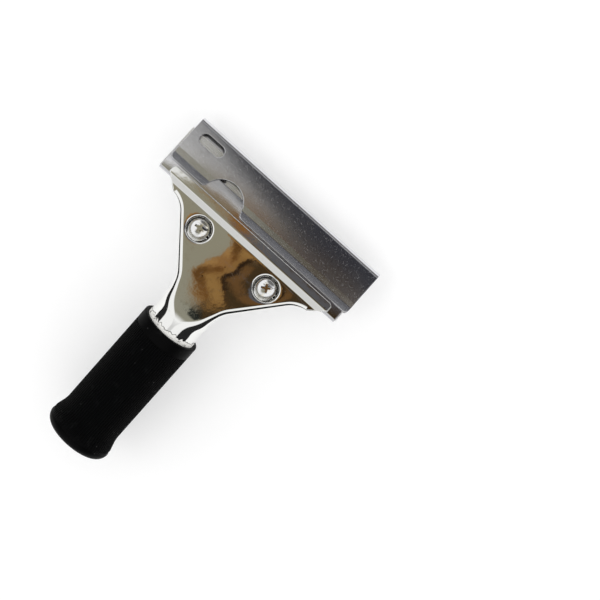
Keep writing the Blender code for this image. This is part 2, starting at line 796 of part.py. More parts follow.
def nut_outline(share):
    """Return a nut's plan, from its inner circle at share 0 to its hexagon at share 1."""
    half = NUT_FLATS / 2
    outline = []
    for i in range(HOLE_SIDES):
        angle = 2 * pi * i / HOLE_SIDES
        lean = angle % (pi / 3) - pi / 6
        radius = half + (half / cos(lean) - half) * share
        outline.append((radius * cos(angle), radius * sin(angle)))
    return outline


def build_nut(side, name, material, head):
    """Build a hexagon nut with chamfered corners under the jaw."""
    bm = bmesh.new()
    stations = (
        (0.0, 0.0),
        (NUT_CHAMFER, 1.0),
        (NUT_HEIGHT - NUT_CHAMFER, 1.0),
        (NUT_HEIGHT, 0.0),
    )
    loops = [[(*point, -depth) for point in nut_outline(share)] for depth, share in stations]
    hole = THREAD_RADIUS + HARDWARE_GAP
    loops += [circle(hole, -depth, HOLE_SIDES) for depth in (NUT_HEIGHT, 0.0)]
    rings = [[bm.verts.new(point) for point in loop] for loop in loops]
    for first, second in zip(rings, rings[1:] + rings[:1]):
        bridge(bm, first, second)
    nut = make_piece(name, bm, material, head)
    nut.location = screw_place(side, -DISH_DEPTH - SEAT_TO_NUT)


def grip_rings():
    """Return the grip's rings as (distance back, radius, share of the rib's depth)."""
    end = GRIP_LENGTH
    flare_start = end - FLARE_LENGTH
    flare_stop = end - END_ROUND
    rings = [
        (0.0, GRIP_RADIUS - MOUTH_ROUND, 0.0),
        (MOUTH_ROUND, GRIP_RADIUS, 0.0),
        (GRIP_COLLAR, GRIP_RADIUS, 0.0),
        (GRIP_COLLAR + RIB_FADE, GRIP_RADIUS, 1.0),
    ]
    for i in range(FLARE_FACETS + 1):
        share = i / FLARE_FACETS
        swell = (1 - cos(pi * share)) / 2
        back = flare_start + (flare_stop - flare_start) * share
        ribs = 1.0 if i < FLARE_FACETS else 0.0
        rings.append((back, GRIP_RADIUS + (FLARE_RADIUS - GRIP_RADIUS) * swell, ribs))
    for x, y in arc((flare_stop, FLARE_RADIUS - END_ROUND), END_ROUND, pi / 2, 0.0)[1:]:
        rings.append((x, y, 0.0))
    return rings


def build_grip(material, tube):
    """Build the rubber grip: a closed sleeve with fine ribs along it and a flared end."""
    bore = TUBE_RADIUS + CLEARANCE
    bottom = (GRIP_LENGTH - GRIP_END_WALL, bore, 0.0)
    angles = [pi * i / RIB_COUNT for i in range(2 * RIB_COUNT)]
    loops = []
    for back, radius, ribs in [bottom, (0.0, bore, 0.0)] + grip_rings():
        reaches = (radius, radius - RIB_DEPTH * ribs)
        loops.append([
            (reaches[i % 2] * cos(a), -back, reaches[i % 2] * sin(a)) for i, a in enumerate(angles)
        ])
    grip = make_piece("grip_sleeve", loft(loops), material, tube)
    grip.location = (0.0, -MOUTH_SETBACK, 0.0)


def tube_matrix():
    """Return the frame of the tube: on its axis where it leaves the bend, Y to the head."""
    start = Vector(bend((0.0, KNEE_END, TUBE_RADIUS)))
    return Matrix.Translation(start) @ Matrix.Rotation(KNEE_ANGLE, 4, "X")


def resting_matrix():
    """Return the placement that rests the guard's fold and the grip's end on the floor."""
    rear = -(MOUTH_SETBACK + GRIP_LENGTH - END_ROUND)
    rim = FLARE_RADIUS - END_ROUND
    heel = tube_matrix() @ Vector((0.0, rear, -rim))
    crown = tube_matrix() @ Vector((0.0, rear, rim))
    toe = Vector((0.0, GUARD_FRONT - GUARD_HALF, CLAMP_PLANE))
    span = toe - heel
    tip = asin((GUARD_HALF - END_ROUND) / span.length) - atan2(span.z, span.y)
    turn = Matrix.Rotation(tip, 4, "X")
    left = min(-BLADE_LENGTH / 2, GUARD_OFFSET - GUARD_LENGTH / 2)
    right = max(BLADE_LENGTH / 2, GUARD_OFFSET + GUARD_LENGTH / 2)
    front = (turn @ toe).y + GUARD_HALF
    back = (turn @ crown).y - END_ROUND
    lift = END_ROUND - (turn @ heel).z
    return Matrix.Translation((-(left + right) / 2, -(front + back) / 2, lift)) @ turn


def main():
    """Build the scraper and stand it on the floor."""
    clear_scene()
    chrome = make_material("chromed_steel", (0.82, 0.8, 0.77), 1.0, 0.08)
    stainless = make_material("brushed_stainless", (0.42, 0.42, 0.44), 1.0, 0.3)
    blade_steel = make_material("oiled_blade_steel", (0.5, 0.52, 0.48), 1.0, 0.25)
    zinc = make_material("bright_zinc", (0.75, 0.75, 0.76), 1.0, 0.2)
    rubber = make_material("black_rubber", (0.012, 0.012, 0.014), 0.0, 0.6)
    frame = make_empty("scraper", None, resting_matrix())
    head = make_empty("head", frame, Matrix.Identity(4))
    tube = make_empty("tube", head, tube_matrix())
    build_handle(chrome, head)
    build_grip(rubber, tube)
    build_jaw(chrome, head)
    build_channel(stainless, head)
    build_blade(blade_steel, head)
    build_guard(stainless, head)
    for side, name in ((-1, "left"), (1, "right")):
        build_screw(side, f"screw_{name}", SCREW_TURNS[name], zinc, head)
        build_washer(side, f"washer_{name}", zinc, head)
        build_nut(side, f"nut_{name}", zinc, head)


main()
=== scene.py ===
"""Glass scraper: its looks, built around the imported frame.

Every node of the frame is replaced by a finer piece of the same size. The record gives
the place of the head's frame: X runs along the blade, Y points forward from the foot of
the pressed step, and Z = 0 is the upper face of the fan. The tube's frame follows from it
round the bend of the neck. Each mesh is made in one of these frames and then placed.
"""

import json
import logging
from collections.abc import Callable, Sequence
from dataclasses import dataclass
from enum import Enum
from math import asin, atan2, ceil, cos, hypot, pi, radians, sin, sqrt, tan

import bmesh
import bpy
import numpy as np
from bmesh.types import BMesh, BMVert
from bpy.types import Material, Mesh, NodeSocket, NodeTree, Object
from mathutils import Matrix, Vector


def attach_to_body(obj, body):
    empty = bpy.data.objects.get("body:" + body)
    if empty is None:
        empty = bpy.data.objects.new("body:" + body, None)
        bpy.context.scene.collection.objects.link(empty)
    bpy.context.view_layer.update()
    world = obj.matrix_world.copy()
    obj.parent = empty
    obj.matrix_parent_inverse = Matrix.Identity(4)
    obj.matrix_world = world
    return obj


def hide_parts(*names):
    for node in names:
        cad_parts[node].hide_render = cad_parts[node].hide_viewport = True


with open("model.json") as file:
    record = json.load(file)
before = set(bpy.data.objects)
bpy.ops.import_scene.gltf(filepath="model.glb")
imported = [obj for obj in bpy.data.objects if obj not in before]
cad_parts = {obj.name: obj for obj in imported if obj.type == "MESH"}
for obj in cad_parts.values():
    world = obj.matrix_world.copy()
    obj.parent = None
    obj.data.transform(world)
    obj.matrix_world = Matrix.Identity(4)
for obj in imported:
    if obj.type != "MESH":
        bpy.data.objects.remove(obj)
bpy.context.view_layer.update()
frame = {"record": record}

MM = 0.001
WELD = 0.0005 * MM
ARC_STEP = radians(5.0)

Point2 = tuple[float, float]
Point3 = tuple[float, float, float]
Pair = tuple[Point3, Point3]
Colour = tuple[float, float, float]

log = logging.getLogger("glass_scraper")


class Body(Enum):
    """The bodies of the frame that pieces ride on."""

    HANDLE = "handle"
    SCREW_LEFT = "screw_left"
    SCREW_RIGHT = "screw_right"
    JAW = "jaw"
    CHANNEL = "channel"
    BLADE = "blade"
    GUARD = "guard"


class Slot(Enum):
    """The record's material slots."""

    CHROME = "chrome"
    STAINLESS = "stainless"
    BLADE_STEEL = "blade_steel"
    ZINC = "zinc"
    RUBBER = "rubber"


class Side(Enum):
    """The two sides of the tool, as the sign of X."""

    LEFT = -1
    RIGHT = 1

    @property
    def word(self) -> str:
        """The side's name in the names of its pieces."""
        return self.name.lower()


# Lines in a plane


def arc(centre: Point2, radius: float, start: float, end: float) -> list[Point2]:
    """Return the points of an arc, both ends included.

    Args:
        centre: The arc's centre.
        radius: Its radius.
        start: The angle of its first point.
        end: The angle of its last point.

    Returns:
        Points in order from start to end.
    """
    steps = max(2, ceil(abs(end - start) / ARC_STEP))
    angles = [start + (end - start) * i / steps for i in range(steps + 1)]
    return [(centre[0] + radius * cos(a), centre[1] + radius * sin(a)) for a in angles]


def offset_line(points: Sequence[Point2], distance: float) -> list[Point2]:
    """Return an open line moved sideways, to its right, with mitred corners.

    Args:
        points: The line.
        distance: How far to its right the new line runs.

    Returns:
        One new point for each old one.
    """
    moved = []
    for i, point in enumerate(points):
        before = Vector(points[max(i - 1, 0)])
        after = Vector(points[min(i + 1, len(points) - 1)])
        here = Vector(point)
        first = (here - before) if i > 0 else (after - here)
        second = (after - here) if i < len(points) - 1 else (here - before)
        first.normalize()
        second.normalize()
        normal = Vector((first.y + second.y, -(first.x + second.x)))
        normal.normalize()
        reach = distance / normal.dot(Vector((first.y, -first.x)))
        moved.append(tuple(here + normal * reach))
    return moved


def fillet_line(points: Sequence[Point2], radii: Sequence[float]) -> list[Point2]:
    """Return an open line with each inner corner rounded.

    Args:
        points: The line with its sharp corners.
        radii: One radius for each inner corner.

    Returns:
        The rounded line.
    """
    line = [points[0]]
    for before, corner, after, radius in zip(points, points[1:], points[2:], radii):
        here = Vector(corner)
        back = (Vector(before) - here).normalized()
        ahead = (Vector(after) - here).normalized()
        half = back.angle(ahead) / 2
        centre = here + (back + ahead).normalized() * radius / sin(half)
        start = here + back * radius / tan(half) - centre
        sweep = start.angle_signed(here + ahead * radius / tan(half) - centre)
        first = atan2(start.y, start.x)
        line += arc(tuple(centre), radius, first, first - sweep)
    line.append(points[-1])
    return line


def spread(line: Sequence[Point2], step: float) -> list[Point2]:
    """Return a line with extra points, so that no stretch is longer than a step.

    Args:
        line: The line.
        step: The longest stretch that is left.

    Returns:
        The same line with more points.
    """
    points = [line[0]]
    for start, end in zip(line, line[1:]):
        count = max(1, ceil(hypot(end[0] - start[0], end[1] - start[1]) / step))
        for i in range(1, count + 1):
            share = i / count
            points.append((start[0] + (end[0] - start[0]) * share,
                           start[1] + (end[1] - start[1]) * share))
    return points


def lengths_along(line: Sequence[Point2]) -> list[float]:
    """Return how far along a line each of its points lies.

    Args:
        line: The line.

    Returns:
        One length for each point.
    """
    total = [0.0]
    for start, end in zip(line, line[1:]):
        total.append(total[-1] + hypot(end[0] - start[0], end[1] - start[1]))
    return total


# Meshes


TRUE_NORMAL = "true_normal"


def settle_normals(mesh: Mesh, matrix: Matrix) -> None:
    """Shade a mesh smooth, with normals that its larger faces decide.

    Flat faces then stay flat up to the small roundings beside them, as on pressed metal.
    Where a sheet knows its own direction at a point, that direction is used instead.

    Args:
        mesh: The mesh, already in its final place.
        matrix: The frame that the sheet's own directions were noted in.
    """
    faces = len(mesh.polygons)
    areas = np.zeros(faces)
    normals = np.zeros(faces * 3)
    totals = np.zeros(faces, int)
    corners = np.zeros(len(mesh.loops), int)
    mesh.polygons.foreach_get("area", areas)
    mesh.polygons.foreach_get("normal", normals)
    mesh.polygons.foreach_get("loop_total", totals)
    mesh.loops.foreach_get("vertex_index", corners)
    pulls = normals.reshape(-1, 3) * (areas[:, None] / MM ** 2) ** 2
    sums = np.zeros((len(mesh.vertices), 3))
    np.add.at(sums, corners, np.repeat(pulls, totals, axis=0))
    sums /= np.maximum(np.linalg.norm(sums, axis=1, keepdims=True), 1e-30)
    noted = mesh.attributes.get(TRUE_NORMAL)
    if noted:
        given = np.zeros(len(mesh.vertices) * 3)
        noted.data.foreach_get("vector", given)
        given = given.reshape(-1, 3) @ np.array(matrix.to_3x3()).T
        known = np.linalg.norm(given, axis=1) > 0.5
        sums[known] = given[known]
        mesh.attributes.remove(noted)
    mesh.shade_smooth()
    mesh.normals_split_custom_set_from_vertices(sums.tolist())


def lathe(profile: Sequence[Point2], sides: int) -> BMesh:
    """Return a closed solid turned about the Z axis.

    Args:
        profile: Points (radius, height). Points on the axis become poles.
        sides: How many steps a full turn has.

    Returns:
        The solid, with its last ring joined to its first where neither is a pole.
    """
    bm = bmesh.new()
    angles = [2 * pi * i / sides for i in range(sides)]
    rings = []
    for radius, height in profile:
        if radius < WELD:
            rings.append([bm.verts.new((0.0, 0.0, height))])
        else:
            rings.append([bm.verts.new((radius * cos(a), radius * sin(a), height)) for a in angles])
    pairs = list(zip(rings, rings[1:]))
    if len(rings[0]) > 1 and len(rings[-1]) > 1:
        pairs.append((rings[-1], rings[0]))
    for low, high in pairs:
        for i in range(sides):
            j = (i + 1) % sides
            corners = (low[i % len(low)], low[j % len(low)], high[j % len(high)], high[i % len(high)])
            bm.faces.new(list(dict.fromkeys(corners)))
    bmesh.ops.recalc_face_normals(bm, faces=bm.faces)
    return bm


def loft(loops: Sequence[Sequence[Point3]], capped: bool = True) -> BMesh:
    """Return a solid through closed loops of points.

    Args:
        loops: The loops in order, all with as many points.
        capped: Whether its two ends are filled. If not, its last loop joins its first.

    Returns:
        The solid, with its faces outwards.
    """
    bm = bmesh.new()
    rings = [[bm.verts.new(point) for point in loop] for loop in loops]
    for first, second in zip(rings, rings[1:] if capped else rings[1:] + rings[:1]):
        for i in range(len(first)):
            j = (i + 1) % len(first)
            bm.faces.new((first[i], first[j], second[j], second[i]))
    if capped:
        bm.faces.new(rings[0])
        bm.faces.new(rings[-1])
    bmesh.ops.recalc_face_normals(bm, faces=bm.faces)
    return bm


def filled(loops: Sequence[Sequence[Point3]]) -> tuple[BMesh, list[list]]:
    """Return the flat region between an outline and its holes, filled with triangles.

    Args:
        loops: The outline, and then the outline of each hole.

    Returns:
        The region, and the vertices of each loop.
    """
    bm = bmesh.new()
    rows = []
    edges = []
    for loop in loops:
        row = [bm.verts.new(point) for point in loop]
        edges += [bm.edges.new(ends) for ends in zip(row, row[1:] + row[:1])]
        rows.append(row)
    bmesh.ops.triangle_fill(bm, use_beauty=True, use_dissolve=False, edges=edges)
    bmesh.ops.recalc_face_normals(bm, faces=bm.faces)
    return bm, rows


# The least cosine that a rim's corner is mitred by, and the most of the half thickness it rounds
MITRE_LEAST = 0.6
RIM_MOST = 0.98


class SheetMesh:
    """A metal sheet, drawn as points of its outer skin with their partners inside."""

    def __init__(self) -> None:
        """Start with no points."""
        self.outer: list[Point3] = []
        self.inner: list[Point3] = []
        self.exact: list[bool] = []
        self.faces: list[list[int]] = []
        self.places: dict[tuple[int, ...], int] = {}

    def point(self, outer: Point3, inner: Point3, exact: bool = True) -> int:
        """Add a pair of points, or find the pair that is already there.

        Args:
            outer: The point on the outer skin.
            inner: Its partner on the inner skin.
            exact: Whether the partner lies straight through the sheet.

        Returns:
            The number of the pair.
        """
        key = tuple(round(value / WELD) for value in outer)
        if key not in self.places:
            self.places[key] = len(self.outer)
            self.outer.append(tuple(outer))
            self.inner.append(tuple(inner))
            self.exact.append(exact)
        return self.places[key]

    def strips(self, rows: Sequence[Sequence[int]]) -> None:
        """Join each row of pairs with the next one."""
        for first, second in zip(rows, rows[1:]):
            self.strip(first, second)

    def strip(self, first: Sequence[int], second: Sequence[int]) -> None:
        """Join two rows of pairs with faces.

        Args:
            first: One row.
            second: The row beside it.
        """
        faces = [
            list(dict.fromkeys(corners)) for corners in zip(first, first[1:], second[1:], second)
        ]
        self.add_faces([face for face in faces if len(face) > 2])

    def add_faces(self, faces: list[list[int]]) -> None:
        """Add faces that all turn the same way, so that they face away from the inner skin.

        Args:
            faces: The pairs round each face.
        """
        total = 0.0
        for face in faces:
            outer = [Vector(self.outer[i]) for i in face]
            through = sum((Vector(self.outer[i]) - Vector(self.inner[i]) for i in face), Vector())
            arms = [point - outer[0] for point in outer[1:]]
            for first, second in zip(arms, arms[1:]):
                total += first.cross(second).dot(through)
        self.faces += [face if total > 0 else face[::-1] for face in faces]

    def ring(self, first: list[int], second: list[int]) -> None:
        """Join two closed loops of pairs with faces."""
        self.strip(first + first[:1], second + second[:1])

    def fill(self, outline: list[int], holes: list[list[int]]) -> None:
        """Fill the flat region between an outline and its holes with triangles.

        Args:
            outline: The pairs round the region.
            holes: The pairs round each hole in it.
        """
        loops = [outline] + holes
        bm, rows = filled([[self.outer[i] for i in loop] for loop in loops])
        names = {vert: i for loop, row in zip(loops, rows) for i, vert in zip(loop, row)}
        self.add_faces([[names[vert] for vert in face.verts] for face in bm.faces])
        bm.free()

    def rim_directions(self, bm: BMesh) -> dict[int, Vector]:
        """Return, for each pair on an open edge, the mitred direction away from the sheet.

        Args:
            bm: The outer skin alone, its vertices numbered as the pairs are.

        Returns:
            The direction at each such pair, longer than 1 where the edge has a corner.
        """
        parts: dict[int, list[Vector]] = {}
        for edge in bm.edges:
            if not edge.is_boundary:
                continue
            ends = [vert.index for vert in edge.verts]
            through = sum((Vector(self.outer[i]) - Vector(self.inner[i]) for i in ends), Vector())
            run = edge.verts[1].co - edge.verts[0].co
            away = run.cross(through).normalized()
            middle = (edge.verts[0].co + edge.verts[1].co) / 2
            if away.dot(middle - edge.link_faces[0].calc_center_median()) < 0:
                away = -away
            for i in ends:
                parts.setdefault(i, []).append(away)
        directions = {}
        for i, ways in parts.items():
            mean = sum(ways, Vector()).normalized()
            directions[i] = mean / max(mean.dot(ways[0]), MITRE_LEAST)
        return directions

    def solid(self, rim: float) -> BMesh:
        """Return the closed mesh: both skins, and a rounded rim along every open edge.

        Args:
            rim: The rim's radius, at most half the sheet's thickness.

        Returns:
            The solid, with its faces outwards.
        """
        bm = bmesh.new()
        noted = bm.verts.layers.float_vector.new(TRUE_NORMAL)
        tops = [bm.verts.new(point) for point in self.outer]
        for face in self.faces:
            bm.faces.new([tops[i] for i in face])
        bm.verts.index_update()
        bm.normal_update()
        ways = self.rim_directions(bm)
        borders = [edge.link_loops[0] for edge in bm.edges if edge.is_boundary]
        borders = [(loop.vert.index, loop.link_loop_next.vert.index) for loop in borders]
        unders = [bm.verts.new(point) for point in self.inner]
        for face in self.faces:
            bm.faces.new([unders[i] for i in reversed(face)])
        for i, exact in enumerate(self.exact):
            if exact:
                through = (Vector(self.outer[i]) - Vector(self.inner[i])).normalized()
                tops[i][noted] = through
                unders[i][noted] = -through
        rows = {i: self.rim_row(bm, i, way, rim, tops[i], unders[i]) for i, way in ways.items()}
        for a, b in borders:
            for k in range(len(rows[a]) - 1):
                bm.faces.new((rows[b][k], rows[a][k], rows[a][k + 1], rows[b][k + 1]))
        return bm

    def rim_row(self, bm: BMesh, index: int, way: Vector, rim: float,
                top: BMVert, under: BMVert) -> list[BMVert]:
        """Draw one pair on an open edge back by the rim's radius and round the rim there.

        Args:
            bm: The mesh that is being built.
            index: The pair's number.
            way: The mitred direction away from the sheet.
            rim: The rim's radius.
            top: The pair's outer vertex.
            under: The pair's inner vertex.

        Returns:
            The vertices round the rim, from the outer skin to the inner one.
        """
        outer, inner = Vector(self.outer[index]), Vector(self.inner[index])
        middle = (outer + inner) / 2
        half = (outer - inner).length / 2
        through = (outer - inner).normalized()
        radius = min(rim, half * RIM_MOST)
        top.co = outer - way * radius
        under.co = inner - way * radius
        turns = [radians(67.5), radians(45.0), radians(22.5), 0.0]
        rises = [half - radius + radius * sin(turn) for turn in turns]
        noted = bm.verts.layers.float_vector[TRUE_NORMAL]
        row = [top]
        for sign, order in ((1, range(4)), (-1, range(3, -1, -1))):
            for k in order:
                out = way * radius * (cos(turns[k]) - 1.0)
                vert = bm.verts.new(middle + out + through * sign * rises[k])
                facing = way.normalized() * cos(turns[k]) + through * sign * sin(turns[k])
                vert[noted] = facing.normalized()
                row.append(vert)
        row.append(under)
        return row


def blank_sheet(outline: list[Point2], holes: list[list[Point2]], stations: Sequence[float],
                place: Callable[[float, float], Pair]) -> SheetMesh:
    """Return a sheet cut from a flat blank and carried to its shape.

    Args:
        outline: The blank's outline (x, distance along the side view).
        holes: The outlines of its holes.
        stations: The distances at which the side view has a point.
        place: Gives the outer and inner point of a place on the blank.

    Returns:
        The shaped sheet.
    """
    bm, _ = filled([[(x, along, 0.0) for x, along in loop] for loop in [outline] + holes])
    for station in stations:
        every = bm.verts[:] + bm.edges[:] + bm.faces[:]
        bmesh.ops.bisect_plane(
            bm, geom=every, dist=WELD, plane_co=(0.0, station, 0.0), plane_no=(0.0, 1.0, 0.0)
        )
    sheet = SheetMesh()
    names = {vert: sheet.point(*place(vert.co.x, vert.co.y)) for vert in bm.verts}
    sheet.add_faces([[names[vert] for vert in face.verts] for face in bm.faces])
    bm.free()
    return sheet


class SideView:
    """The side view of a folded sheet: a line of its outer skin and one of its inner skin."""

    def __init__(self, line: list[Point2], thickness: float) -> None:
        """Keep the outer line and draw the inner one to its right.

        Args:
            line: The outer skin (y, z).
            thickness: The sheet's thickness.
        """
        self.outer = line
        self.inner = offset_line(line, thickness)
        self.along = lengths_along(line)

    @property
    def length(self) -> float:
        """The length of the whole outer line."""
        return self.along[-1]

    def place(self, x: float, along: float) -> Pair:
        """Return the outer and inner point at a place on the blank.

        Args:
            x: Where the place lies along the blade.
            along: Its distance along the outer line.

        Returns:
            The two points.
        """
        points = []
        for line in (self.outer, self.inner):
            y = float(np.interp(along, self.along, [point[0] for point in line]))
            z = float(np.interp(along, self.along, [point[1] for point in line]))
            points.append((x, y, z))
        return points[0], points[1]


# Sizes that several pieces share


@dataclass(frozen=True)
class Layout:
    """Sizes and levels that more than one piece is drawn to."""

    sheet: float = 1.2 * MM
    clearance: float = 0.3 * MM
    hardware_gap: float = 0.15 * MM
    screw_spacing: float = 38.0 * MM
    screw_setback: float = 6.4 * MM
    dish_depth: float = 1.2 * MM
    thread_radius: float = 2.0 * MM
    washer_radius: float = 3.7 * MM
    washer_height: float = 0.9 * MM
    channel_half: float = 1.5 * MM
    channel_rear: float = 2.25 * MM
    channel_sheet: float = 0.8 * MM
    tube_radius: float = 11.8 * MM
    tube_length: float = 67.0 * MM
    knee_inside: float = 3.0 * MM
    knee_angle: float = radians(26.0)
    fan_length: float = 34.0 * MM
    mouth_setback: float = 3.8 * MM
    shoulder: Point2 = (38.1 * MM, 1.7 * MM)
    root: Point2 = (33.3 * MM, 2.6 * MM)
    waist_setback: float = 28.8 * MM
    blade_length: float = 100.0 * MM
    blade_width: float = 21.5 * MM

    @property
    def knee_radius(self) -> float:
        """The radius of the neck's bend, on the upper face."""
        return 2 * self.tube_radius + self.knee_inside

    @property
    def knee_end(self) -> float:
        """How far back the neck's bend ends."""
        return self.fan_length + self.knee_radius * self.knee_angle

    @property
    def clamp_plane(self) -> float:
        """The level of the blade's middle."""
        return -(self.sheet + self.clearance / 2)

    @property
    def step_rise(self) -> float:
        """How far the lip stands above the fan."""
        return self.clamp_plane + self.channel_half + self.clearance + self.sheet

    @property
    def seat_to_head(self) -> float:
        """The distance from a dished seat up to its screw's head."""
        return self.washer_height + 2 * self.hardware_gap

    @property
    def seat_to_nut(self) -> float:
        """The distance from a dished seat down to its nut."""
        return 2 * self.sheet + self.clearance + self.hardware_gap

    @property
    def blade_rear(self) -> float:
        """How far ahead of the foot the blade's rear edge lies."""
        return self.channel_rear + self.channel_sheet + self.clearance

    def screw_place(self, side: Side, height: float) -> Vector:
        """Return a point on a screw's axis at a height above the fan."""
        return Vector((side.value * self.screw_spacing / 2, -self.screw_setback, height))

    def bend(self, point: Point3) -> Point3:
        """Carry a flat point round the knee into the head's frame.

        Args:
            point: Where it lies as (x, distance back, depth).

        Returns:
            Its place in the head's frame.
        """
        x, back, depth = point
        if back <= self.fan_length:
            return (x, -back, -depth)
        turn = min((back - self.fan_length) / self.knee_radius, self.knee_angle)
        beyond = max(back - self.knee_end, 0.0)
        radius = self.knee_radius - depth
        y = -self.fan_length - radius * sin(turn) - beyond * cos(turn)
        z = -self.knee_radius + radius * cos(turn) - beyond * sin(turn)
        return (x, y, z)


@dataclass(frozen=True)
class Frames:
    """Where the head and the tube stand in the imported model."""

    head: Matrix
    tube: Matrix

    @classmethod
    def from_record(cls, record: dict, layout: Layout) -> "Frames":
        """Read the head's frame from the joints and set the tube's behind it.

        Args:
            record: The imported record.
            layout: The shared sizes.

        Returns:
            Both frames, as seen from the world.
        """
        joints = {joint["name"]: joint for joint in record["behaviour"]["joints"]}
        screws = [Vector(joints[f"screw_{side.word}_turn"]["pos_m"]) for side in Side]
        ahead = Vector(joints["guard_slide"]["axis"])
        up = Vector(joints["screw_left_turn"]["axis"])
        origin = (screws[0] + screws[1]) / 2 + ahead * layout.screw_setback
        turn = Matrix((ahead.cross(up), ahead, up)).transposed().to_4x4()
        head = Matrix.Translation(origin) @ turn
        start = Vector(layout.bend((0.0, layout.knee_end, layout.tube_radius)))
        knee = Matrix.Translation(start) @ Matrix.Rotation(layout.knee_angle, 4, "X")
        return cls(head, head @ knee)


def linked(name: str, data: bpy.types.ID) -> Object:
    """Return a new object in the scene's collection.

    Args:
        name: Its name.
        data: Its mesh, light or camera.

    Returns:
        The object.
    """
    obj = bpy.data.objects.new(name, data)
    bpy.context.collection.objects.link(obj)
    return obj


def drawn_mesh(name: str, bm: BMesh) -> Mesh:
    """Return a drawing as mesh data, and use the drawing up.

    Args:
        name: The mesh's name.
        bm: The drawing.

    Returns:
        The mesh.
    """
    mesh = bpy.data.meshes.new(name)
    bm.to_mesh(mesh)
    bm.free()
    return mesh


def place_piece(name: str, bm: BMesh, matrix: Matrix, material: Material,
                body: Body, stands_for: Sequence[str] = ()) -> Object:
    """Turn a drawn mesh into a finished piece that rides on its body.

    Args:
        name: The piece's name.
        bm: Its mesh, in the frame it was drawn in. It is used up.
        matrix: That frame, as seen from the world.
        material: Its finish.
        body: What it rides on.
        stands_for: The frame's nodes that it replaces.

    Returns:
        The piece.
    """
    bmesh.ops.remove_doubles(bm, verts=bm.verts, dist=WELD / 10)
    bmesh.ops.transform(bm, matrix=matrix, verts=bm.verts)
    mesh = drawn_mesh(name, bm)
    settle_normals(mesh, matrix)
    mesh.materials.append(material)
    return attach(linked(name, mesh), body, stands_for)


def attach(piece: Object, body: Body,
           stands_for: Sequence[str] = ()) -> Object:
    """Let a piece ride on its body and hide what it stands for.

    Args:
        piece: The piece, in place.
        body: What it rides on.
        stands_for: The frame's nodes that it replaces.

    Returns:
        The same piece.
    """
    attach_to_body(piece, body.value)
    if stands_for:
        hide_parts(*stands_for)
    log.info("%s rides on %s with %d faces", piece.name, body.value, len(piece.data.polygons))
    return piece


@dataclass
class Part:
    """What every part of the scraper is drawn from, and its finish."""

    layout: Layout
    frames: Frames
    material: Material


# Stamped sheets: the handle and the jaw


@dataclass
class PressedLip:
    """The pressed step and the raised lip that the handle and the jaw both have."""

    layout: Layout
    length: float = 90.0 * MM
    depth: float = 7.3 * MM
    side: float = 3.6 * MM
    corner: float = 2.0 * MM
    slope: float = radians(35.0)
    foot_fillet: float = 1.4 * MM
    crest_fillet: float = 2.0 * MM

    def line(self) -> list[Point2]:
        """Return the upper skin's side view (y, z) from the foot to the front."""
        rise = self.layout.step_rise
        fillets = self.foot_fillet + self.crest_fillet
        run = fillets * sin(self.slope) + (rise - fillets * (1 - cos(self.slope))) / tan(self.slope)
        foot = arc((0.0, self.foot_fillet), self.foot_fillet, -pi / 2, self.slope - pi / 2)
        crest = arc((run, rise - self.crest_fillet), self.crest_fillet, pi / 2 + self.slope, pi / 2)
        rounding = [y for y, _ in arc((self.depth - self.corner, 0.0), self.corner, -pi / 2, 0.0)]
        return foot + crest + [(y, rise) for y in [self.side] + rounding]

    def half_width(self, y: float, foot: Point2) -> float:
        """Return the lip's half width ahead of the foot.

        Args:
            y: The distance ahead of the foot.
            foot: The half width and the distance back at which its end begins to slant.

        Returns:
            Half the width there.
        """
        if y <= self.side:
            share = (self.side - y) / (self.side + foot[1])
            return self.length / 2 + (foot[0] - self.length / 2) * share
        into = max(y - (self.depth - self.corner), 0.0)
        return self.length / 2 - self.corner + sqrt(max(self.corner ** 2 - into ** 2, 0.0))

    def add(self, sheet: SheetMesh, outer: Sequence[Point2], inner: Sequence[Point2],
            foot: Point2) -> list[int]:
        """Add the step and the lip to a sheet.

        Args:
            sheet: The sheet.
            outer: Its outer skin in side view.
            inner: Its inner skin in side view.
            foot: The half width and the distance back at which its end begins to slant.

        Returns:
            The pairs of its first row, at the foot.
        """
        rows = []
        for top, under in zip(outer, inner):
            half = self.half_width(top[0], foot)
            rows.append([sheet.point((s * half, *top), (s * half, *under)) for s in (-1, 1)])
        sheet.strips(rows)
        return rows[0]


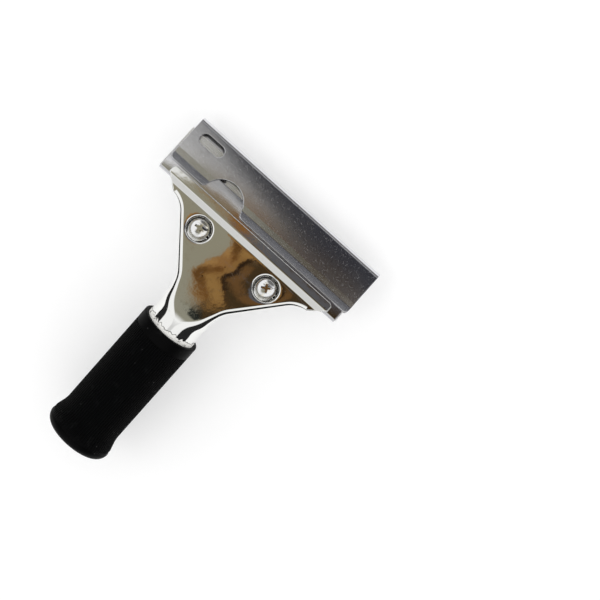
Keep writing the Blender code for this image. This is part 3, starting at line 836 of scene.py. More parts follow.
@dataclass
class DishedSeat:
    """A round pressed seat with its screw hole."""

    layout: Layout
    margin: float = 0.8 * MM
    slope_run: float = 1.6 * MM
    ledge: float = 0.15 * MM
    rim_fillet: float = 1.5 * MM
    floor_fillet: float = 0.7 * MM
    sides: int = 96

    def profile(self, level: float) -> list[Point2]:
        """Return the seat's skin (radius, height), outwards, at a level below the fan's face.

        Args:
            level: How far below it the sheet's upper face lies.

        Returns:
            The skin's points.
        """
        floor = self.layout.washer_radius + self.margin
        reach = level * tan(atan2(self.layout.dish_depth, self.slope_run) / 2)
        bottom = -self.layout.dish_depth - level
        hole = self.layout.thread_radius + self.layout.clearance
        corners = [
            (hole, bottom),
            (floor + reach, bottom),
            (floor + self.slope_run + reach, -level),
            (floor + self.slope_run + reach + self.rim_fillet, -level),
        ]
        line = fillet_line(corners, (self.floor_fillet, self.rim_fillet))
        return [line[0], ((hole + floor) / 2, bottom)] + line[1:-1]

    def add_both(self, sheet: SheetMesh, depth: float, thickness: float) -> list[list[int]]:
        """Add the seats of both screws to a sheet and return the loops round them."""
        middle = self.layout.screw_spacing / 2
        return [self.add(sheet, side.value * middle, depth, thickness) for side in Side]

    def add(self, sheet: SheetMesh, x: float, depth: float, thickness: float) -> list[int]:
        """Add the seat to a sheet.

        Args:
            sheet: The sheet.
            x: Where its middle lies along the blade.
            depth: How far the sheet's upper face lies below the fan's.
            thickness: The sheet's thickness.

        Returns:
            The pairs of the loop round it.
        """
        outer = self.profile(depth)
        inner = offset_line(outer, thickness)
        loops = [self.loop(sheet, x, pair) for pair in zip(outer, inner)]
        for first, second in zip(loops, loops[1:]):
            sheet.ring(first, second)
        return loops[-1]

    def loop(self, sheet: SheetMesh, x: float, skins: tuple[Point2, Point2]) -> list[int]:
        """Add one loop, flattened just behind the foot of the step.

        Args:
            sheet: The sheet.
            x: Where its middle lies along the blade.
            skins: Its radius and height on both skins.

        Returns:
            The loop's pairs.
        """
        loop = []
        for i in range(self.sides):
            angle = 2 * pi * i / self.sides
            pair = []
            for radius, z in skins:
                y = min(radius * sin(angle) - self.layout.screw_setback, -self.ledge)
                pair.append((x + radius * cos(angle), y, z))
            loop.append(sheet.point(*pair))
        return loop


@dataclass
class Handle(Part):
    """The stamped handle: lip, step, fan with dished seats, rolled sides and tube."""

    root_fillet: float = 12.0 * MM
    waist_fillet: float = 15.0 * MM
    flange_radius: float = 1.8 * MM
    flange_gain: float = 0.8 * MM
    flange_drop: float = 1.4 * MM
    throat_setback: float = 29.0 * MM
    throat_length: float = 13.5 * MM
    throat_ease: float = 1.7
    throat_turn: float = 0.8
    throat_rest: float = 1.2
    seam: float = 0.5 * MM
    outline_step: float = 0.7 * MM
    facets: int = 28
    rim: float = 0.5 * MM

    def side_line(self) -> list[Point2]:
        """Return the fan's outline (half width, distance back) from shoulder to tube."""
        tube = self.layout.tube_radius
        corners = [
            self.layout.shoulder,
            self.layout.root,
            (tube, self.layout.waist_setback),
            (tube, self.throat_setback + self.throat_length),
        ]
        line = fillet_line(corners, (self.root_fillet, self.waist_fillet))
        return spread(line + [(tube, self.layout.knee_end)], self.outline_step)

    def sizes(self, back: float) -> tuple[float, float, float]:
        """Return the rolled side's radius, wrap angle and straight drop at a distance back.

        Args:
            back: The distance back from the foot.

        Returns:
            The three sizes.
        """
        first = self.layout.shoulder[1]
        along = min(max((back - first) / (self.throat_setback - first), 0.0), 1.0)
        throat = min(max((back - self.throat_setback) / self.throat_length, 0.0), 1.0)
        slim = self.flange_radius + self.flange_gain * along
        radius = slim + (self.layout.tube_radius - slim) * self.throat_share(back)
        full = pi - self.seam / 2 / self.layout.tube_radius
        return radius, pi / 2 + (full - pi / 2) * throat, self.flange_drop * (1.0 - throat)

    def throat_share(self, back: float) -> float:
        """Return how far the rolled side has grown to the tube, easing out at the end.

        Args:
            back: The distance back from the foot.

        Returns:
            From 0 at the fan to 1 on the tube.
        """
        along = max(back - self.throat_setback, 0.0) / self.throat_length
        if along <= self.throat_turn:
            return along ** self.throat_ease
        span = self.throat_rest - self.throat_turn
        t = min((along - self.throat_turn) / span, 1.0)
        start = self.throat_turn ** self.throat_ease
        slope = self.throat_ease * self.throat_turn ** (self.throat_ease - 1) * span
        rise = t * t * (3 - 2 * t)
        return start * (1 - rise) + slope * t * (1 - t) ** 2 + rise

    def flat_edge(self, outer: Point2, normal: Point2) -> Point2:
        """Return, in plan, where the flat ends and the rolled side begins."""
        radius = self.sizes(outer[1])[0]
        return (outer[0] - radius * normal[0], outer[1] - radius * normal[1])

    def section(self, side: int, outer: Point2, normal: Point2) -> list[Pair]:
        """Return the pairs of one section, from the flat to the sheet's edge.

        Args:
            side: The sign of the side.
            outer: The outline's point (half width, distance back).
            normal: The outward direction there, in plan.

        Returns:
            Points of the outer skin with their partners.
        """
        radius, wrap, drop = self.sizes(outer[1])
        centre = self.flat_edge(outer, normal)
        skins = []
        for depth in (0.0, self.layout.sheet):
            bow = radius - depth
            angles = [wrap * i / self.facets for i in range(self.facets + 1)]
            row = [(bow * sin(a), radius - bow * cos(a)) for a in angles]
            out, down = row[-1]
            row.append((out + drop * cos(wrap), down + drop * sin(wrap)))
            skins.append([
                self.layout.bend((side * (centre[0] + o * normal[0]), centre[1] + o * normal[1], d))
                for o, d in row
            ])
        return list(zip(*skins))

    def normals(self, line: Sequence[Point2]) -> list[Point2]:
        """Return the outward direction, in plan, at each point of the fan's side.

        Args:
            line: The side's points.

        Returns:
            One direction for each point.
        """
        ways = []
        for i in range(len(line)):
            before, after = line[max(i - 1, 0)], line[min(i + 1, len(line) - 1)]
            run = hypot(after[0] - before[0], after[1] - before[1])
            ways.append(((after[1] - before[1]) / run, (before[0] - after[0]) / run))
        ways[-1] = (1.0, 0.0)
        return ways

    def build(self) -> None:
        """Build the handle and dress it."""
        sheet = SheetMesh()
        lip = PressedLip(self.layout)
        upper = lip.line()
        foot = lip.add(sheet, upper, offset_line(upper, self.layout.sheet), self.layout.shoulder)
        line = self.side_line()
        ways = self.normals(line)
        line.append((self.layout.tube_radius, self.layout.knee_end + self.layout.tube_length))
        ways.append(ways[-1])
        rows = {}
        for side in (-1, 1):
            sections = [self.section(side, *station) for station in zip(line, ways)]
            rows[side] = [
                [sheet.point(*pair, exact=i == 0) for i, pair in enumerate(section)]
                for section in sections
            ]
            sheet.strips(rows[side])
        flat = sum(self.flat_edge(*s)[1] <= self.layout.fan_length for s in zip(line, ways))
        edges = {}
        for side in (-1, 1):
            corner = (side * self.layout.shoulder[0], -self.layout.shoulder[1])
            shoulder = sheet.point((*corner, 0.0), (*corner, -self.layout.sheet))
            edges[side] = [shoulder] + [row[0] for row in rows[side][:flat]]
        seats = DishedSeat(self.layout).add_both(sheet, 0.0, self.layout.sheet)
        sheet.fill(foot[::-1] + edges[-1] + edges[1][::-1], seats)
        crossings = [[rows[-1][i][0], rows[1][i][0]] for i in range(flat - 1, len(line) - 1)]
        sheet.strips(crossings)
        place_piece("handle_shell", sheet.solid(self.rim), self.frames.head, self.material,
                    Body.HANDLE, ["handle_body"])


@dataclass
class Jaw(Part):
    """The lower jaw: a plate with nested seats, and the handle's lip mirrored below the blade."""

    sheet: float = 1.2 * MM
    reach: float = 15.5 * MM
    corner: float = 3.0 * MM
    side_gap: float = 0.8 * MM
    root_fillet: float = 10.0 * MM
    rim: float = 0.45 * MM

    def side_line(self) -> list[Point2]:
        """Return half of the jaw's plan behind the foot, as (half width, distance back)."""
        corners = [
            self.layout.shoulder,
            self.layout.root,
            (self.layout.tube_radius, self.layout.waist_setback),
        ]
        shoulder, root, waist = offset_line(corners, -(self.layout.sheet + self.side_gap))
        foot = self.crossing(shoulder, root, 0.0)
        rear = self.crossing(root, waist, self.reach)
        return fillet_line([foot, root, rear, (0.0, self.reach)], (self.root_fillet, self.corner))

    def crossing(self, start: Point2, end: Point2, back: float) -> Point2:
        """Return where a line in plan reaches a distance back from the foot."""
        share = (back - start[1]) / (end[1] - start[1])
        return (start[0] + (end[0] - start[0]) * share, back)

    def build(self) -> None:
        """Build the jaw and dress it."""
        sheet = SheetMesh()
        lip = PressedLip(self.layout)
        under = offset_line(lip.line(), self.layout.sheet)
        outer = [(y, 2 * self.layout.clamp_plane - z) for y, z in under]
        side = self.side_line()
        foot = lip.add(sheet, outer, offset_line(outer, self.sheet), (side[0][0], 0.0))
        top = -self.layout.sheet - self.layout.clearance
        edges = {}
        for sign in (-1, 1):
            places = [(sign * half, -back) for half, back in side[1:-1]]
            edges[sign] = [sheet.point((*p, top), (*p, top - self.sheet)) for p in places]
        seats = DishedSeat(self.layout).add_both(sheet, -top, self.sheet)
        sheet.fill(foot[::-1] + edges[-1] + edges[1][::-1], seats)
        place_piece("jaw_shell", sheet.solid(self.rim), self.frames.head, self.material,
                    Body.JAW, ["clamp_jaw"])


# Folded sheets: the channel, the blade and the guard


@dataclass
class Channel(Part):
    """The folded channel: two leaves that close a little towards the blade's edge."""

    inset: float = 0.3 * MM
    depth: float = 13.0 * MM
    lip_half: float = 1.32 * MM
    corner: float = 0.7 * MM
    rim: float = 0.3 * MM

    def half_at(self, y: float) -> float:
        """Return half the channel's thickness at a distance ahead of the foot.

        Args:
            y: The distance.

        Returns:
            Half the thickness there.
        """
        rear = self.layout.channel_rear
        start = rear + self.layout.channel_half
        share = (y - start) / (rear + self.depth - start)
        return self.layout.channel_half + (self.lip_half - self.layout.channel_half) * share

    def side_view(self) -> SideView:
        """Return the side view, from the lower leaf round the fold to the upper one."""
        half = self.layout.channel_half
        rear = self.layout.channel_rear
        front = rear + self.depth
        fold = arc((rear + half, 0.0), half, -pi / 2, -3 * pi / 2)
        line = [(front, -self.lip_half)] + fold + [(front, self.lip_half)]
        shifted = [(y, self.layout.clamp_plane + z) for y, z in line]
        return SideView(shifted, self.layout.channel_sheet)

    def build(self) -> None:
        """Build the channel and dress it."""
        view = self.side_view()
        half = self.layout.blade_length / 2 - self.inset
        outline = rounded_blank(-half, half, view.length, self.corner)
        sheet = blank_sheet(outline, [], view.along[1:-1], view.place)
        place_piece("channel_shell", sheet.solid(self.rim), self.frames.head, self.material,
                    Body.CHANNEL, ["blade_channel"])


def rounded_blank(left: float, right: float, length: float, corner: float) -> list[Point2]:
    """Return a blank's outline: a rectangle with rounded corners.

    Args:
        left: Its left end along the blade.
        right: Its right end.
        length: Its length along the side view.
        corner: The corners' radius.

    Returns:
        The outline, anticlockwise.
    """
    centres = [
        (right - corner, corner, -pi / 2),
        (right - corner, length - corner, 0.0),
        (left + corner, length - corner, pi / 2),
        (left + corner, corner, pi),
    ]
    outline = []
    for x, along, turn in centres:
        outline += arc((x, along), corner, turn, turn + pi / 2)
    return outline


@dataclass
class Blade(Part):
    """The double-edged blade with its round hole and two flat-sided holes."""

    thickness: float = 0.4 * MM
    edge: float = 0.06 * MM
    bevel: float = 2.8 * MM
    centre_hole: float = 2.9 * MM
    side_hole: float = 3.3 * MM
    side_hole_width: float = 4.7 * MM
    side_hole_offset: float = 26.0 * MM
    hole_sides: int = 72
    corner: float = 0.25 * MM
    rim: float = 0.06 * MM

    def hole(self, x: float, radius: float, half_width: float) -> list[Point2]:
        """Return a round hole on the blank, with two flats where its half width is less.

        Args:
            x: Where its middle lies along the blade.
            radius: Its radius.
            half_width: Half the distance between its flats.

        Returns:
            The points round it.
        """
        angles = [2 * pi * i / self.hole_sides for i in range(self.hole_sides)]
        points = []
        for a in angles:
            reach = max(-half_width, min(half_width, radius * cos(a)))
            points.append((x + reach, self.layout.blade_width / 2 + radius * sin(a)))
        return points

    def place(self, x: float, along: float) -> Pair:
        """Return the upper and lower point at a place on the blank.

        Args:
            x: Where the place lies along the blade.
            along: Its distance from the rear edge.

        Returns:
            The two points.
        """
        width = self.layout.blade_width
        stations = (0.0, self.bevel, width - self.bevel, width)
        halves = (self.edge / 2, self.thickness / 2, self.thickness / 2, self.edge / 2)
        half = float(np.interp(along, stations, halves))
        y = self.layout.blade_rear + along
        level = self.layout.clamp_plane
        return (x, y, level + half), (x, y, level - half)

    def build(self) -> None:
        """Build the blade and dress it."""
        half = self.layout.blade_length / 2
        width = self.layout.blade_width
        outline = rounded_blank(-half, half, width, self.corner)
        offset = self.side_hole_offset
        holes = [
            self.hole(0.0, self.centre_hole, self.centre_hole),
            self.hole(-offset, self.side_hole, self.side_hole_width / 2),
            self.hole(offset, self.side_hole, self.side_hole_width / 2),
        ]
        sheet = blank_sheet(outline, holes, (self.bevel, width - self.bevel), self.place)
        place_piece("blade_plate", sheet.solid(self.rim), self.frames.head, self.material,
                    Body.BLADE, ["blade"])


@dataclass
class Guard(Part):
    """The folded guard, with its finger notch and its slot through the upper leaf alone."""

    channel: Channel
    lip_depth: float = 7.3 * MM
    extra: float = 0.6 * MM
    offset: float = 1.1 * MM
    sheet: float = 0.6 * MM
    half: float = 2.7 * MM
    room: float = 6.15 * MM
    gap: float = 1.0 * MM
    crease: float = 5.7 * MM
    flare: float = 3.2 * MM
    flare_rise: float = 0.5 * MM
    crease_fillet: float = 1.0 * MM
    corner: float = 2.2 * MM
    notch_radius: float = 9.6 * MM
    notch_offset: float = 21.0 * MM
    notch_fillet: float = 2.5 * MM
    slot_length: float = 12.4 * MM
    slot_width: float = 5.4 * MM
    slot_inset: float = 10.6 * MM
    slot_setback: float = 7.2 * MM
    rim: float = 0.27 * MM

    @property
    def end(self) -> float:
        """How far ahead of the foot the leaves end."""
        return self.lip_depth + self.gap

    @property
    def front(self) -> float:
        """How far ahead of the foot the fold reaches."""
        return self.layout.blade_rear + self.layout.blade_width + self.room

    @property
    def ends(self) -> Point2:
        """Where the guard's left and right ends lie along the blade."""
        half = (self.layout.blade_length + self.extra) / 2
        return self.offset - half, self.offset + half

    def side_view(self) -> SideView:
        """Return the side view, from the upper leaf's end round the fold to the lower one's."""
        contact = self.end + self.flare
        grip = self.channel.half_at(contact) + self.layout.clearance + self.sheet
        fold_start = self.front - self.half
        corners = [
            (self.end, grip + self.flare_rise),
            (contact, grip),
            (self.end + self.crease, self.half),
            (fold_start, self.half),
        ]
        upper = fillet_line(corners, (self.crease_fillet, self.crease_fillet))
        fold = arc((fold_start, 0.0), self.half, pi / 2, -pi / 2)
        line = upper[:-1] + fold + [(y, -z) for y, z in upper[-2::-1]]
        return SideView([(y, self.layout.clamp_plane + z) for y, z in line], self.sheet)

    def on_blank(self, view: SideView, plan: Sequence[Point2]) -> list[Point2]:
        """Return points in plan on the upper leaf as places on the blank.

        Args:
            view: The side view.
            plan: Points (x, y).

        Returns:
            Places (x, distance along the side view).
        """
        top = max(range(len(view.outer)), key=lambda i: view.outer[i][0])
        ys = [point[0] for point in view.outer[:top + 1]]
        return [(x, float(np.interp(y, ys, view.along[:top + 1]))) for x, y in plan]

    def notch(self) -> list[Point2]:
        """Return the notch in plan: a half circle with rounded feet."""
        x = self.offset - self.notch_offset
        fillet = self.notch_fillet
        reach = self.notch_radius + fillet
        foot = sqrt(reach ** 2 - fillet ** 2)
        lean = asin(fillet / reach)
        left = arc((x - foot, self.end + fillet), fillet, -pi / 2, -lean)
        bow = arc((x, self.end), self.notch_radius, pi - lean, lean)
        right = arc((x + foot, self.end + fillet), fillet, pi + lean, 3 * pi / 2)
        return left[:-1] + bow + right[1:]

    def slot(self) -> list[Point2]:
        """Return the slot in plan, with round ends."""
        radius = self.slot_width / 2
        reach = self.slot_length / 2 - radius
        x = self.ends[0] + self.slot_inset
        y = self.front - self.slot_setback
        right = arc((x + reach, y), radius, -pi / 2, pi / 2)
        return right + arc((x - reach, y), radius, pi / 2, 3 * pi / 2)

    def build(self) -> None:
        """Build the guard and dress it."""
        view = self.side_view()
        rest = rounded_blank(*self.ends, view.length, self.corner)
        outline = self.on_blank(view, self.notch()) + rest
        slot = self.on_blank(view, self.slot())
        sheet = blank_sheet(outline, [slot], view.along[1:-1], view.place)
        place_piece("guard_shell", sheet.solid(self.rim), self.frames.head, self.material,
                    Body.GUARD, ["blade_guard"])


# Node trees


class Graph:
    """A thin helper that adds nodes to a tree and links them."""

    def __init__(self, tree: NodeTree) -> None:
        """Keep the tree."""
        self.tree = tree

    def feed(self, socket: NodeSocket, value: object) -> None:
        """Link an output to a socket, or set the socket's own value.

        Args:
            socket: The input.
            value: An output or a plain value.
        """
        if isinstance(value, NodeSocket):
            self.tree.links.new(value, socket)
        else:
            socket.default_value = value

    def node(self, kind: str, inputs: dict | None = None, **settings: object) -> bpy.types.Node:
        """Add a node.

        Args:
            kind: The node's type.
            inputs: A value or an output to link for each named or numbered input.
            settings: The node's own settings.

        Returns:
            The node.
        """
        made = self.tree.nodes.new(kind)
        for name, value in settings.items():
            setattr(made, name, value)
        for name, value in (inputs or {}).items():
            self.feed(made.inputs[name], value)
        return made

    def math(self, operation: str, *values: object, clamp: bool = False) -> NodeSocket:
        """Add a Math node and return its output."""
        inputs = dict(enumerate(values))
        return self.node("ShaderNodeMath", inputs, operation=operation, use_clamp=clamp).outputs[0]

    def vector(self, operation: str, *values: object) -> bpy.types.Node:
        """Add a Vector Math node and return it."""
        return self.node("ShaderNodeVectorMath", dict(enumerate(values)), operation=operation)

    def between(self, value: object, low: float, high: float, start: float = 0.0,
                end: float = 1.0) -> NodeSocket:
        """Map a value smoothly from one range to another and return it."""
        made = self.node("ShaderNodeMapRange", {
            "Value": value, "From Min": low, "From Max": high, "To Min": start, "To Max": end,
        }, interpolation_type="SMOOTHSTEP")
        return made.outputs["Result"]

    def mix(self, share: object, first: object, second: object) -> NodeSocket:
        """Mix two colours and return the result."""
        inputs = {0: share, 6: first, 7: second}
        return self.node("ShaderNodeMix", inputs, data_type="RGBA").outputs[2]

    def group(self, tree: NodeTree, inputs: dict) -> bpy.types.NodeOutputs:
        """Place a node group with its own values and return its outputs."""
        return self.node("ShaderNodeGroup", inputs, node_tree=tree).outputs


class Group(Graph):
    """A new node group and the outputs of its input node."""

    def __init__(self, name: str, kind: str, inputs: dict[str, str], outputs: dict[str, str]) -> None:
        """Start the group with its sockets.

        Args:
            name: Its name.
            kind: Shader or Geometry.
            inputs: The kind of each named input.
            outputs: The kind of each named output.
        """
        super().__init__(bpy.data.node_groups.new(name, f"{kind}NodeTree"))
        for way, sockets in (("INPUT", inputs), ("OUTPUT", outputs)):
            for label, socket in sockets.items():
                self.tree.interface.new_socket(label, in_out=way, socket_type=f"NodeSocket{socket}")
        self.given = self.node("NodeGroupInput").outputs

    def close(self, outputs: dict[str, NodeSocket]) -> NodeTree:
        """Link the group's outputs and return its tree."""
        self.node("NodeGroupOutput", outputs)
        return self.tree

    def close_dressed(self, shape: NodeSocket) -> NodeTree:
        """Put a shape out as real geometry in the group's finish, and return the tree.

        Args:
            shape: The shape's output.

        Returns:
            The group's tree.
        """
        real = self.node("GeometryNodeRealizeInstances", {"Geometry": shape})
        dress = self.node("GeometryNodeSetMaterial", {
            "Geometry": real.outputs["Geometry"], "Material": self.given["Finish"],
        })
        return self.close({"Geometry": dress.outputs["Geometry"]})


# Screws, washers and nuts


def baked(obj: Object, name: str) -> Object:
    """Return a plain mesh object of what an object's modifiers make, and remove the object.

    Args:
        obj: The object with its modifiers.
        name: The new object's name.

    Returns:
        The new object.
    """
    graph = bpy.context.evaluated_depsgraph_get()
    mesh = bpy.data.meshes.new_from_object(obj.evaluated_get(graph))
    bpy.data.objects.remove(obj, do_unlink=True)
    mesh.name = name
    return linked(name, mesh)


def grown(obj: Object, tree: NodeTree, values: dict[str, object], name: str,
          matrix: Matrix) -> Object:
    """Run a Geometry Nodes tree on an object and bake what it makes.

    Args:
        obj: The object, which is used up.
        tree: The tree.
        values: A value for each of the tree's named inputs.
        name: The result's name.
        matrix: The result's place.

    Returns:
        The result, as a plain mesh object.
    """
    modifier = obj.modifiers.new(name, "NODES")
    modifier.node_group = tree
    identifiers = {s.name: s.identifier for s in tree.interface.items_tree if s.in_out == "INPUT"}
    for label, value in values.items():
        modifier[identifiers[label]] = value
    result = baked(obj, name)
    result.data.transform(matrix)
    result.data.materials.clear()
    result.data.materials.append(values["Finish"])
    return result


@dataclass
class Hardware(Part):
    """A part of the clamp that sits round the axis of one of the two screws."""

    side: Side

    def matrix_at(self, rise: float) -> Matrix:
        """Return the frame on the screw's axis at a height above the dish's foot."""
        place = self.layout.screw_place(self.side, rise - self.layout.dish_depth)
        return self.frames.head @ Matrix.Translation(place)


def thread_tree() -> NodeTree:
    """Return a Geometry Nodes tree that winds a thread's ridge round the Z axis."""
    tree = Group("screw_thread", "Geometry", {
        "Radius": "Float", "Depth": "Float", "Length": "Float", "Turns": "Float",
        "Finish": "Material",
    }, {"Geometry": "Geometry"})
    spiral = tree.node("GeometryNodeCurveSpiral", {
        "Resolution": 28, "Rotations": tree.given["Turns"], "Start Radius": tree.given["Radius"],
        "End Radius": tree.given["Radius"], "Height": tree.given["Length"],
    })
    ridge = tree.node("GeometryNodeCurvePrimitiveCircle", {
        "Resolution": 4, "Radius": tree.given["Depth"],
    })
    solid = tree.node("GeometryNodeCurveToMesh", {
        "Curve": spiral.outputs["Curve"], "Profile Curve": ridge.outputs["Curve"],
        "Fill Caps": True,
    })
    return tree.close_dressed(solid.outputs["Mesh"])


@dataclass
class Screw(Hardware):
    """A pan head screw with a tapered cross recess and a rolled thread."""

    turn: float
    thread: NodeTree
    proud: float = 1.75 * MM
    nut_height: float = 3.2 * MM
    head_radius: float = 3.9 * MM
    head_height: float = 2.4 * MM
    crown_rim: float = 3.45 * MM
    crown_drop: float = 0.65 * MM
    edge_height: float = 1.15 * MM
    under_round: float = 0.25 * MM
    tip: float = 0.5 * MM
    recess_radius: float = 2.5 * MM
    recess_depth: float = 1.2 * MM
    recess_width: float = 1.15 * MM
    recess_foot: float = 1.9 * MM
    recess_overrun: float = 2.0 * MM
    edge_round: float = 0.07 * MM
    edge_steps: int = 8
    pitch: float = 0.7 * MM
    thread_depth: float = 0.3 * MM
    sides: int = 72

    @property
    def length(self) -> float:
        """The shank's length below the head."""
        return self.layout.seat_to_head + self.layout.seat_to_nut + self.nut_height + self.proud

    @property
    def matrix(self) -> Matrix:
        """The screw's own frame, under its head, as seen from the world."""
        return self.matrix_at(self.layout.seat_to_head)

    def cross(self, reach: float, height: float) -> list[Point3]:
        """Return the outline of a cross with rounded arm ends at a height.

        Args:
            reach: The length of its arms.
            height: Its level above the head's underside.

        Returns:
            The points round it.
        """
        arm = self.recess_width / 2
        points = []
        for quarter in range(4):
            spin = Matrix.Rotation(self.turn + quarter * pi / 2, 2)
            bow = arc((0.0, -reach + arm * 0.5), arm, -pi * 0.82, -pi * 0.18)
            flat = [(x, max(y, -reach)) for x, y in bow[::3]]
            corners = flat + [(arm, -arm - arm * 0.45), (arm * 1.12, -arm * 1.12), (arm * 1.45, -arm)]
            points += [(*(spin @ Vector(place)), height) for place in corners]
        return points

    def build(self) -> None:
        """Build the screw's body and its thread and dress them."""
        core = self.layout.thread_radius - self.thread_depth
        round_ = self.under_round
        under = arc((self.head_radius - round_, round_), round_, -pi / 2, 0.0)
        ball = (self.crown_rim ** 2 + self.crown_drop ** 2) / (2 * self.crown_drop)
        lean = asin(self.crown_rim / ball)
        edge_width = self.head_radius - self.crown_rim
        rim_height = self.head_height - self.crown_drop
        edge = [
            (self.crown_rim + edge_width * cos(a),
             self.edge_height + (rim_height - self.edge_height) * sin(a))
            for a in [pi / 2 * i / self.edge_steps for i in range(self.edge_steps)]
        ]
        cap = arc((0.0, self.head_height - ball), ball, pi / 2 - lean, pi / 2)
        dome = edge + cap[:-1]
        profile = [(0.0, -self.length), (core - self.tip, -self.length),
                   (core, -self.length + self.tip), (core, 0.0)] + under + dome
        profile.append((0.0, self.head_height))
        head = linked("head", drawn_mesh("head", lathe(profile, self.sides)))
        taper = (self.recess_radius - self.recess_foot) / self.recess_depth
        mouth = self.recess_radius + self.recess_overrun * taper
        foot = self.cross(self.recess_foot, self.head_height - self.recess_depth)
        top = self.cross(mouth, self.head_height + self.recess_overrun)
        recess = linked("recess", drawn_mesh("recess", loft([foot, top])))
        cut = head.modifiers.new("recess", "BOOLEAN")
        cut.operation = "DIFFERENCE"
        cut.solver = "EXACT"
        cut.object = recess
        ease = head.modifiers.new("edge", "BEVEL")
        ease.width = self.edge_round
        ease.segments = 2
        ease.limit_method = "ANGLE"
        ease.angle_limit = radians(40.0)
        plain = baked(head, "head")
        bpy.data.objects.remove(recess, do_unlink=True)
        bm = bmesh.new()
        bm.from_mesh(plain.data)
        bpy.data.objects.remove(plain, do_unlink=True)
        name = f"screw_{self.side.word}"
        body = Body(name)
        place_piece(f"{name}_body", bm, self.matrix, self.material, body, [name])
        self.wind_thread(name, body)

    def wind_thread(self, name: str, body: Body) -> None:
        """Wind the thread's ridge round the shank.

        Args:
            name: The screw's name.
            body: What it rides on.
        """
        carrier = linked("carrier", bpy.data.meshes.new("carrier"))
        run = self.length - self.tip - 2 * self.pitch
        lift = Matrix.Translation((0.0, 0.0, -self.length + self.tip))
        ridge = grown(carrier, self.thread, {
            "Radius": self.layout.thread_radius - self.thread_depth,
            "Depth": self.thread_depth,
            "Length": run,
            "Turns": run / self.pitch,
            "Finish": self.material,
        }, f"{name}_thread", self.matrix @ lift)
        ridge.data.shade_flat()
        attach(ridge, body)


@dataclass
class SpringWasher(Hardware):
    """A spring washer: a split ring whose ends stand a little apart."""

    split: float = 0.9 * MM
    edge: float = 0.08 * MM
    spring: float = 0.06 * MM
    steps: int = 72

    def build(self) -> None:
        """Build the washer and dress it."""
        inner = self.layout.thread_radius + self.layout.clearance
        outer, top, edge = self.layout.washer_radius, self.layout.washer_height, self.edge
        section = [
            (inner + edge, 0.0), (outer - edge, 0.0), (outer, edge), (outer, top - edge),
            (outer - edge, top), (inner + edge, top), (inner, top - edge), (inner, edge),
        ]
        gap = self.split / outer
        loops = []
        for i in range(self.steps + 1):
            share = i / self.steps
            angle = gap / 2 + (2 * pi - gap) * share
            lift = self.spring * (1 - 2 * share)
            loops.append([(r * cos(angle), r * sin(angle), z + lift) for r, z in section])
        name = f"washer_{self.side.word}"
        place_piece(f"{name}_ring", loft(loops), self.matrix_at(self.layout.hardware_gap), self.material,
                    Body.HANDLE, [name])


@dataclass
class Nut(Hardware):
    """A hexagon nut with chamfered corners and a countersunk hole."""

    flats: float = 7.0 * MM
    face: float = 0.97
    height: float = 3.2 * MM
    chamfer: float = radians(30.0)
    sink: float = 0.35 * MM
    sides: int = 96

    def build(self) -> None:
        """Build the nut and dress it."""
        hole = self.layout.thread_radius + self.layout.hardware_gap
        flat = self.flats / 2 * self.face
        loops: list[list[Point3]] = [[] for _ in range(8)]
        for i in range(self.sides):
            angle = 2 * pi * i / self.sides
            reach = self.flats / 2 / cos(angle % (pi / 3) - pi / 6)
            drop = (reach - flat) * tan(self.chamfer)
            rings = (
                (hole, -self.sink), (hole + self.sink, 0.0), (flat, 0.0), (reach, -drop),
                (reach, drop - self.height), (flat, -self.height),
                (hole + self.sink, -self.height), (hole, self.sink - self.height),
            )
            for loop, (radius, z) in zip(loops, rings):
                loop.append((radius * cos(angle), radius * sin(angle), z))
        name = f"nut_{self.side.word}"
        piece = place_piece(f"{name}_hexagon", loft(loops, capped=False),
                            self.matrix_at(-self.layout.seat_to_nut), self.material, Body.JAW,
                            [name])
        piece.data.set_sharp_from_angle(angle=radians(25.0))


# The rubber grip


def rib_tree() -> NodeTree:
    """Return a Geometry Nodes tree that repeats one rib round the Z axis."""
    tree = Group("grip_ribs", "Geometry", {
        "Rib": "Geometry", "Count": "Int", "Step": "Float", "Finish": "Material",
    }, {"Geometry": "Geometry"})
    points = tree.node("GeometryNodeMeshLine", {
        "Count": tree.given["Count"], "Offset": (0.0, 0.0, 0.0),
    })
    index = tree.node("GeometryNodeInputIndex").outputs["Index"]
    turn = tree.math("MULTIPLY", index, tree.given["Step"])
    spin = tree.node("ShaderNodeCombineXYZ", {"Z": turn})
    repeat = tree.node("GeometryNodeInstanceOnPoints", {
        "Points": points.outputs["Mesh"], "Instance": tree.given["Rib"],
        "Rotation": spin.outputs["Vector"],
    })
    return tree.close_dressed(repeat.outputs["Instances"])


